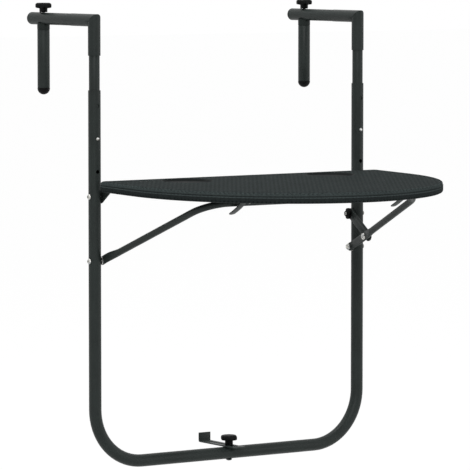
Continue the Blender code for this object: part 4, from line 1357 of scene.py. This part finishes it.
class LatchOperator(bpy.types.Operator):
    """Finishes the latch: plate, rivet, spacer and wing nut"""

    bl_idname = "balcony_table.latch"
    bl_label = "Latch"

    def execute(self, context):
        softened("latch_plate", "powder_coated_steel", PRESSED_EDGE)
        rivet = softened("latch_rivet", "zinc_plated_steel", THIN_EDGE)
        formed_end = (low("latch_rivet").x, RIVET.y, RIVET.z)
        drilled(rivet, (formed_end, X, settings().fitting.rivet_hollow, 0.004), angle=40.0)
        softened("latch_spacer", "zinc_plated_steel", THIN_EDGE)
        softened("latch_wing_nut", "black_plastic", 0.0007, 45.0)
        return {"FINISHED"}


class StopOperator(bpy.types.Operator):
    """Finishes the sliding stop foot: slotted plate, bolt and knob"""

    bl_idname = "balcony_table.stop_foot"
    bl_label = "Stop foot"

    def execute(self, context):
        softened("stop_plate", "powder_coated_steel", PRESSED_EDGE)
        painted_bolt = softened("stop_bolt", "zinc_plated_steel", PRESSED_EDGE)
        painted_bolt.data.materials[0] = powder_coat()
        knob("stop_knob", "stop_knob", (0, UPRIGHT.y, low("stop_knob").z))
        return {"FINISHED"}


# Stage

LAMP_TARGET = Vector((0, -0.15, -0.38))
# Each lamp's name, place, size and the setting that holds its power
LAMPS = (
    ("key_lamp", (-3.6, -5.2, 2.4), 2.0, "key"),
    ("fill_lamp", (4.6, -4.4, 0.4), 3.0, "fill"),
    ("top_lamp", (-0.8, 0.3, 3.2), 2.6, "overhead"),
)


def seen_directly(sums):
    """1 where the camera looks straight at a surface, or through glass or a mirror at it."""
    path = sums.node("ShaderNodeLightPath")
    seen = sums.sum("MAXIMUM", path.outputs["Is Camera Ray"], path.outputs["Is Glossy Ray"])
    return sums.sum("MAXIMUM", seen, path.outputs["Is Transmission Ray"])


def floor_material(stage):
    """A plain surface that the camera sees mostly as white, and that still takes a soft shadow."""
    material = bpy.data.materials.new("pale_floor")
    material.use_nodes = True
    tree = material.node_tree
    shader = tree.nodes["Principled BSDF"]
    shader.inputs["Base Color"].default_value = (*stage.floor_colour, 1.0)
    shader.inputs["Roughness"].default_value = 0.9
    glow = tree.nodes.new("ShaderNodeEmission")
    glow.inputs["Strength"].default_value = stage.glow
    mix = tree.nodes.new("ShaderNodeMixShader")
    sums = Sums(tree)
    tree.links.new(sums.times(seen_directly(sums), stage.whiteness), mix.inputs[0])
    tree.links.new(shader.outputs[0], mix.inputs[1])
    tree.links.new(glow.outputs[0], mix.inputs[2])
    tree.links.new(mix.outputs[0], tree.nodes["Material Output"].inputs["Surface"])
    return material


def lamp(name, place, size, power):
    """A square lamp that points at the middle of the table."""
    light = bpy.data.lights.new(name, "AREA")
    light.shape = "SQUARE"
    light.size = size
    light.energy = power
    made = bpy.data.objects.new(name, light)
    made.location = place
    made.rotation_euler = (LAMP_TARGET - Vector(place)).to_track_quat("-Z", "Y").to_euler()
    bpy.context.scene.collection.objects.link(made)


class StageOperator(bpy.types.Operator):
    """Sets the pale floor, the soft lamps, the even world light and the camera"""

    bl_idname = "balcony_table.stage"
    bl_label = "Stage"

    def execute(self, context):
        stage = settings().stage
        self.floor(stage)
        self.world(context.scene, stage)
        for name, place, size, power in LAMPS:
            lamp(name, place, size, getattr(stage, power))
        self.camera(context.scene, stage)
        return {"FINISHED"}

    def floor(self, stage):
        bm = bmesh.new()
        bmesh.ops.create_grid(bm, x_segments=1, y_segments=1, size=30.0)
        bmesh.ops.translate(bm, verts=bm.verts, vec=Z * -stage.floor_drop)
        to_object("balcony_floor", bm, floor_material(stage), join_seams=False)

    def world(self, scene, stage):
        world = bpy.data.worlds.new("even_light")
        scene.world = world
        world.use_nodes = True
        tree = world.node_tree
        sums = Sums(tree)
        strength = sums.share(seen_directly(sums), 0.0, 1.0, stage.world, 1.0)
        back = tree.nodes["Background"]
        back.inputs["Color"].default_value = (1.0, 1.0, 1.0, 1.0)
        tree.links.new(strength, back.inputs["Strength"])

    def camera(self, scene, stage):
        data = bpy.data.cameras.new("camera")
        data.sensor_width = 36.0
        data.sensor_fit = "HORIZONTAL"
        data.lens = stage.focal_pixels / PHOTO_WIDTH * data.sensor_width
        data.clip_end = 200.0
        made = bpy.data.objects.new("camera", data)
        made.location = stage.camera
        made.rotation_euler = (math.pi / 2 - stage.pitch, 0.0, -stage.azimuth)
        scene.collection.objects.link(made)
        scene.camera = made
        scene.view_settings.view_transform = "Standard"


PIECE_OPERATORS = (
    FrameOperator,
    HooksOperator,
    ClampsOperator,
    TopOperator,
    HingesOperator,
    BoltsOperator,
    BraceOperator,
    LatchOperator,
    StopOperator,
    StageOperator,
)


class BalconyTablePanel(bpy.types.Panel):
    """Lists the pieces, and the settings that they read"""

    bl_idname = "VIEW3D_PT_balcony_table"
    bl_label = "Balcony Table"
    bl_space_type = "VIEW_3D"
    bl_region_type = "UI"
    bl_category = "Balcony Table"

    def draw(self, context):
        for operator in PIECE_OPERATORS:
            self.layout.operator(operator.bl_idname)
        for name in ("tube", "top", "fitting", "brace", "finish", "stage"):
            group = getattr(settings(), name)
            box = self.layout.box()
            box.label(text=name.capitalize())
            for prop in group.bl_rna.properties:
                if prop.identifier not in ("rna_type", "name"):
                    box.prop(group, prop.identifier)


CLASSES = (
    TubeSettings,
    TopSettings,
    FittingSettings,
    BraceSettings,
    FinishSettings,
    StageSettings,
    BalconyTableSettings,
    *PIECE_OPERATORS,
    BalconyTablePanel,
)


def register():
    for cls in CLASSES:
        bpy.utils.register_class(cls)
    bpy.types.Scene.balcony_table = PointerProperty(type=BalconyTableSettings)


def unregister():
    del bpy.types.Scene.balcony_table
    for cls in reversed(CLASSES):
        bpy.utils.unregister_class(cls)


def main():
    register()
    for operator in PIECE_OPERATORS:
        group, name = operator.bl_idname.split(".")
        getattr(getattr(bpy.ops, group), name)()


if __name__ == "__main__":
    main()
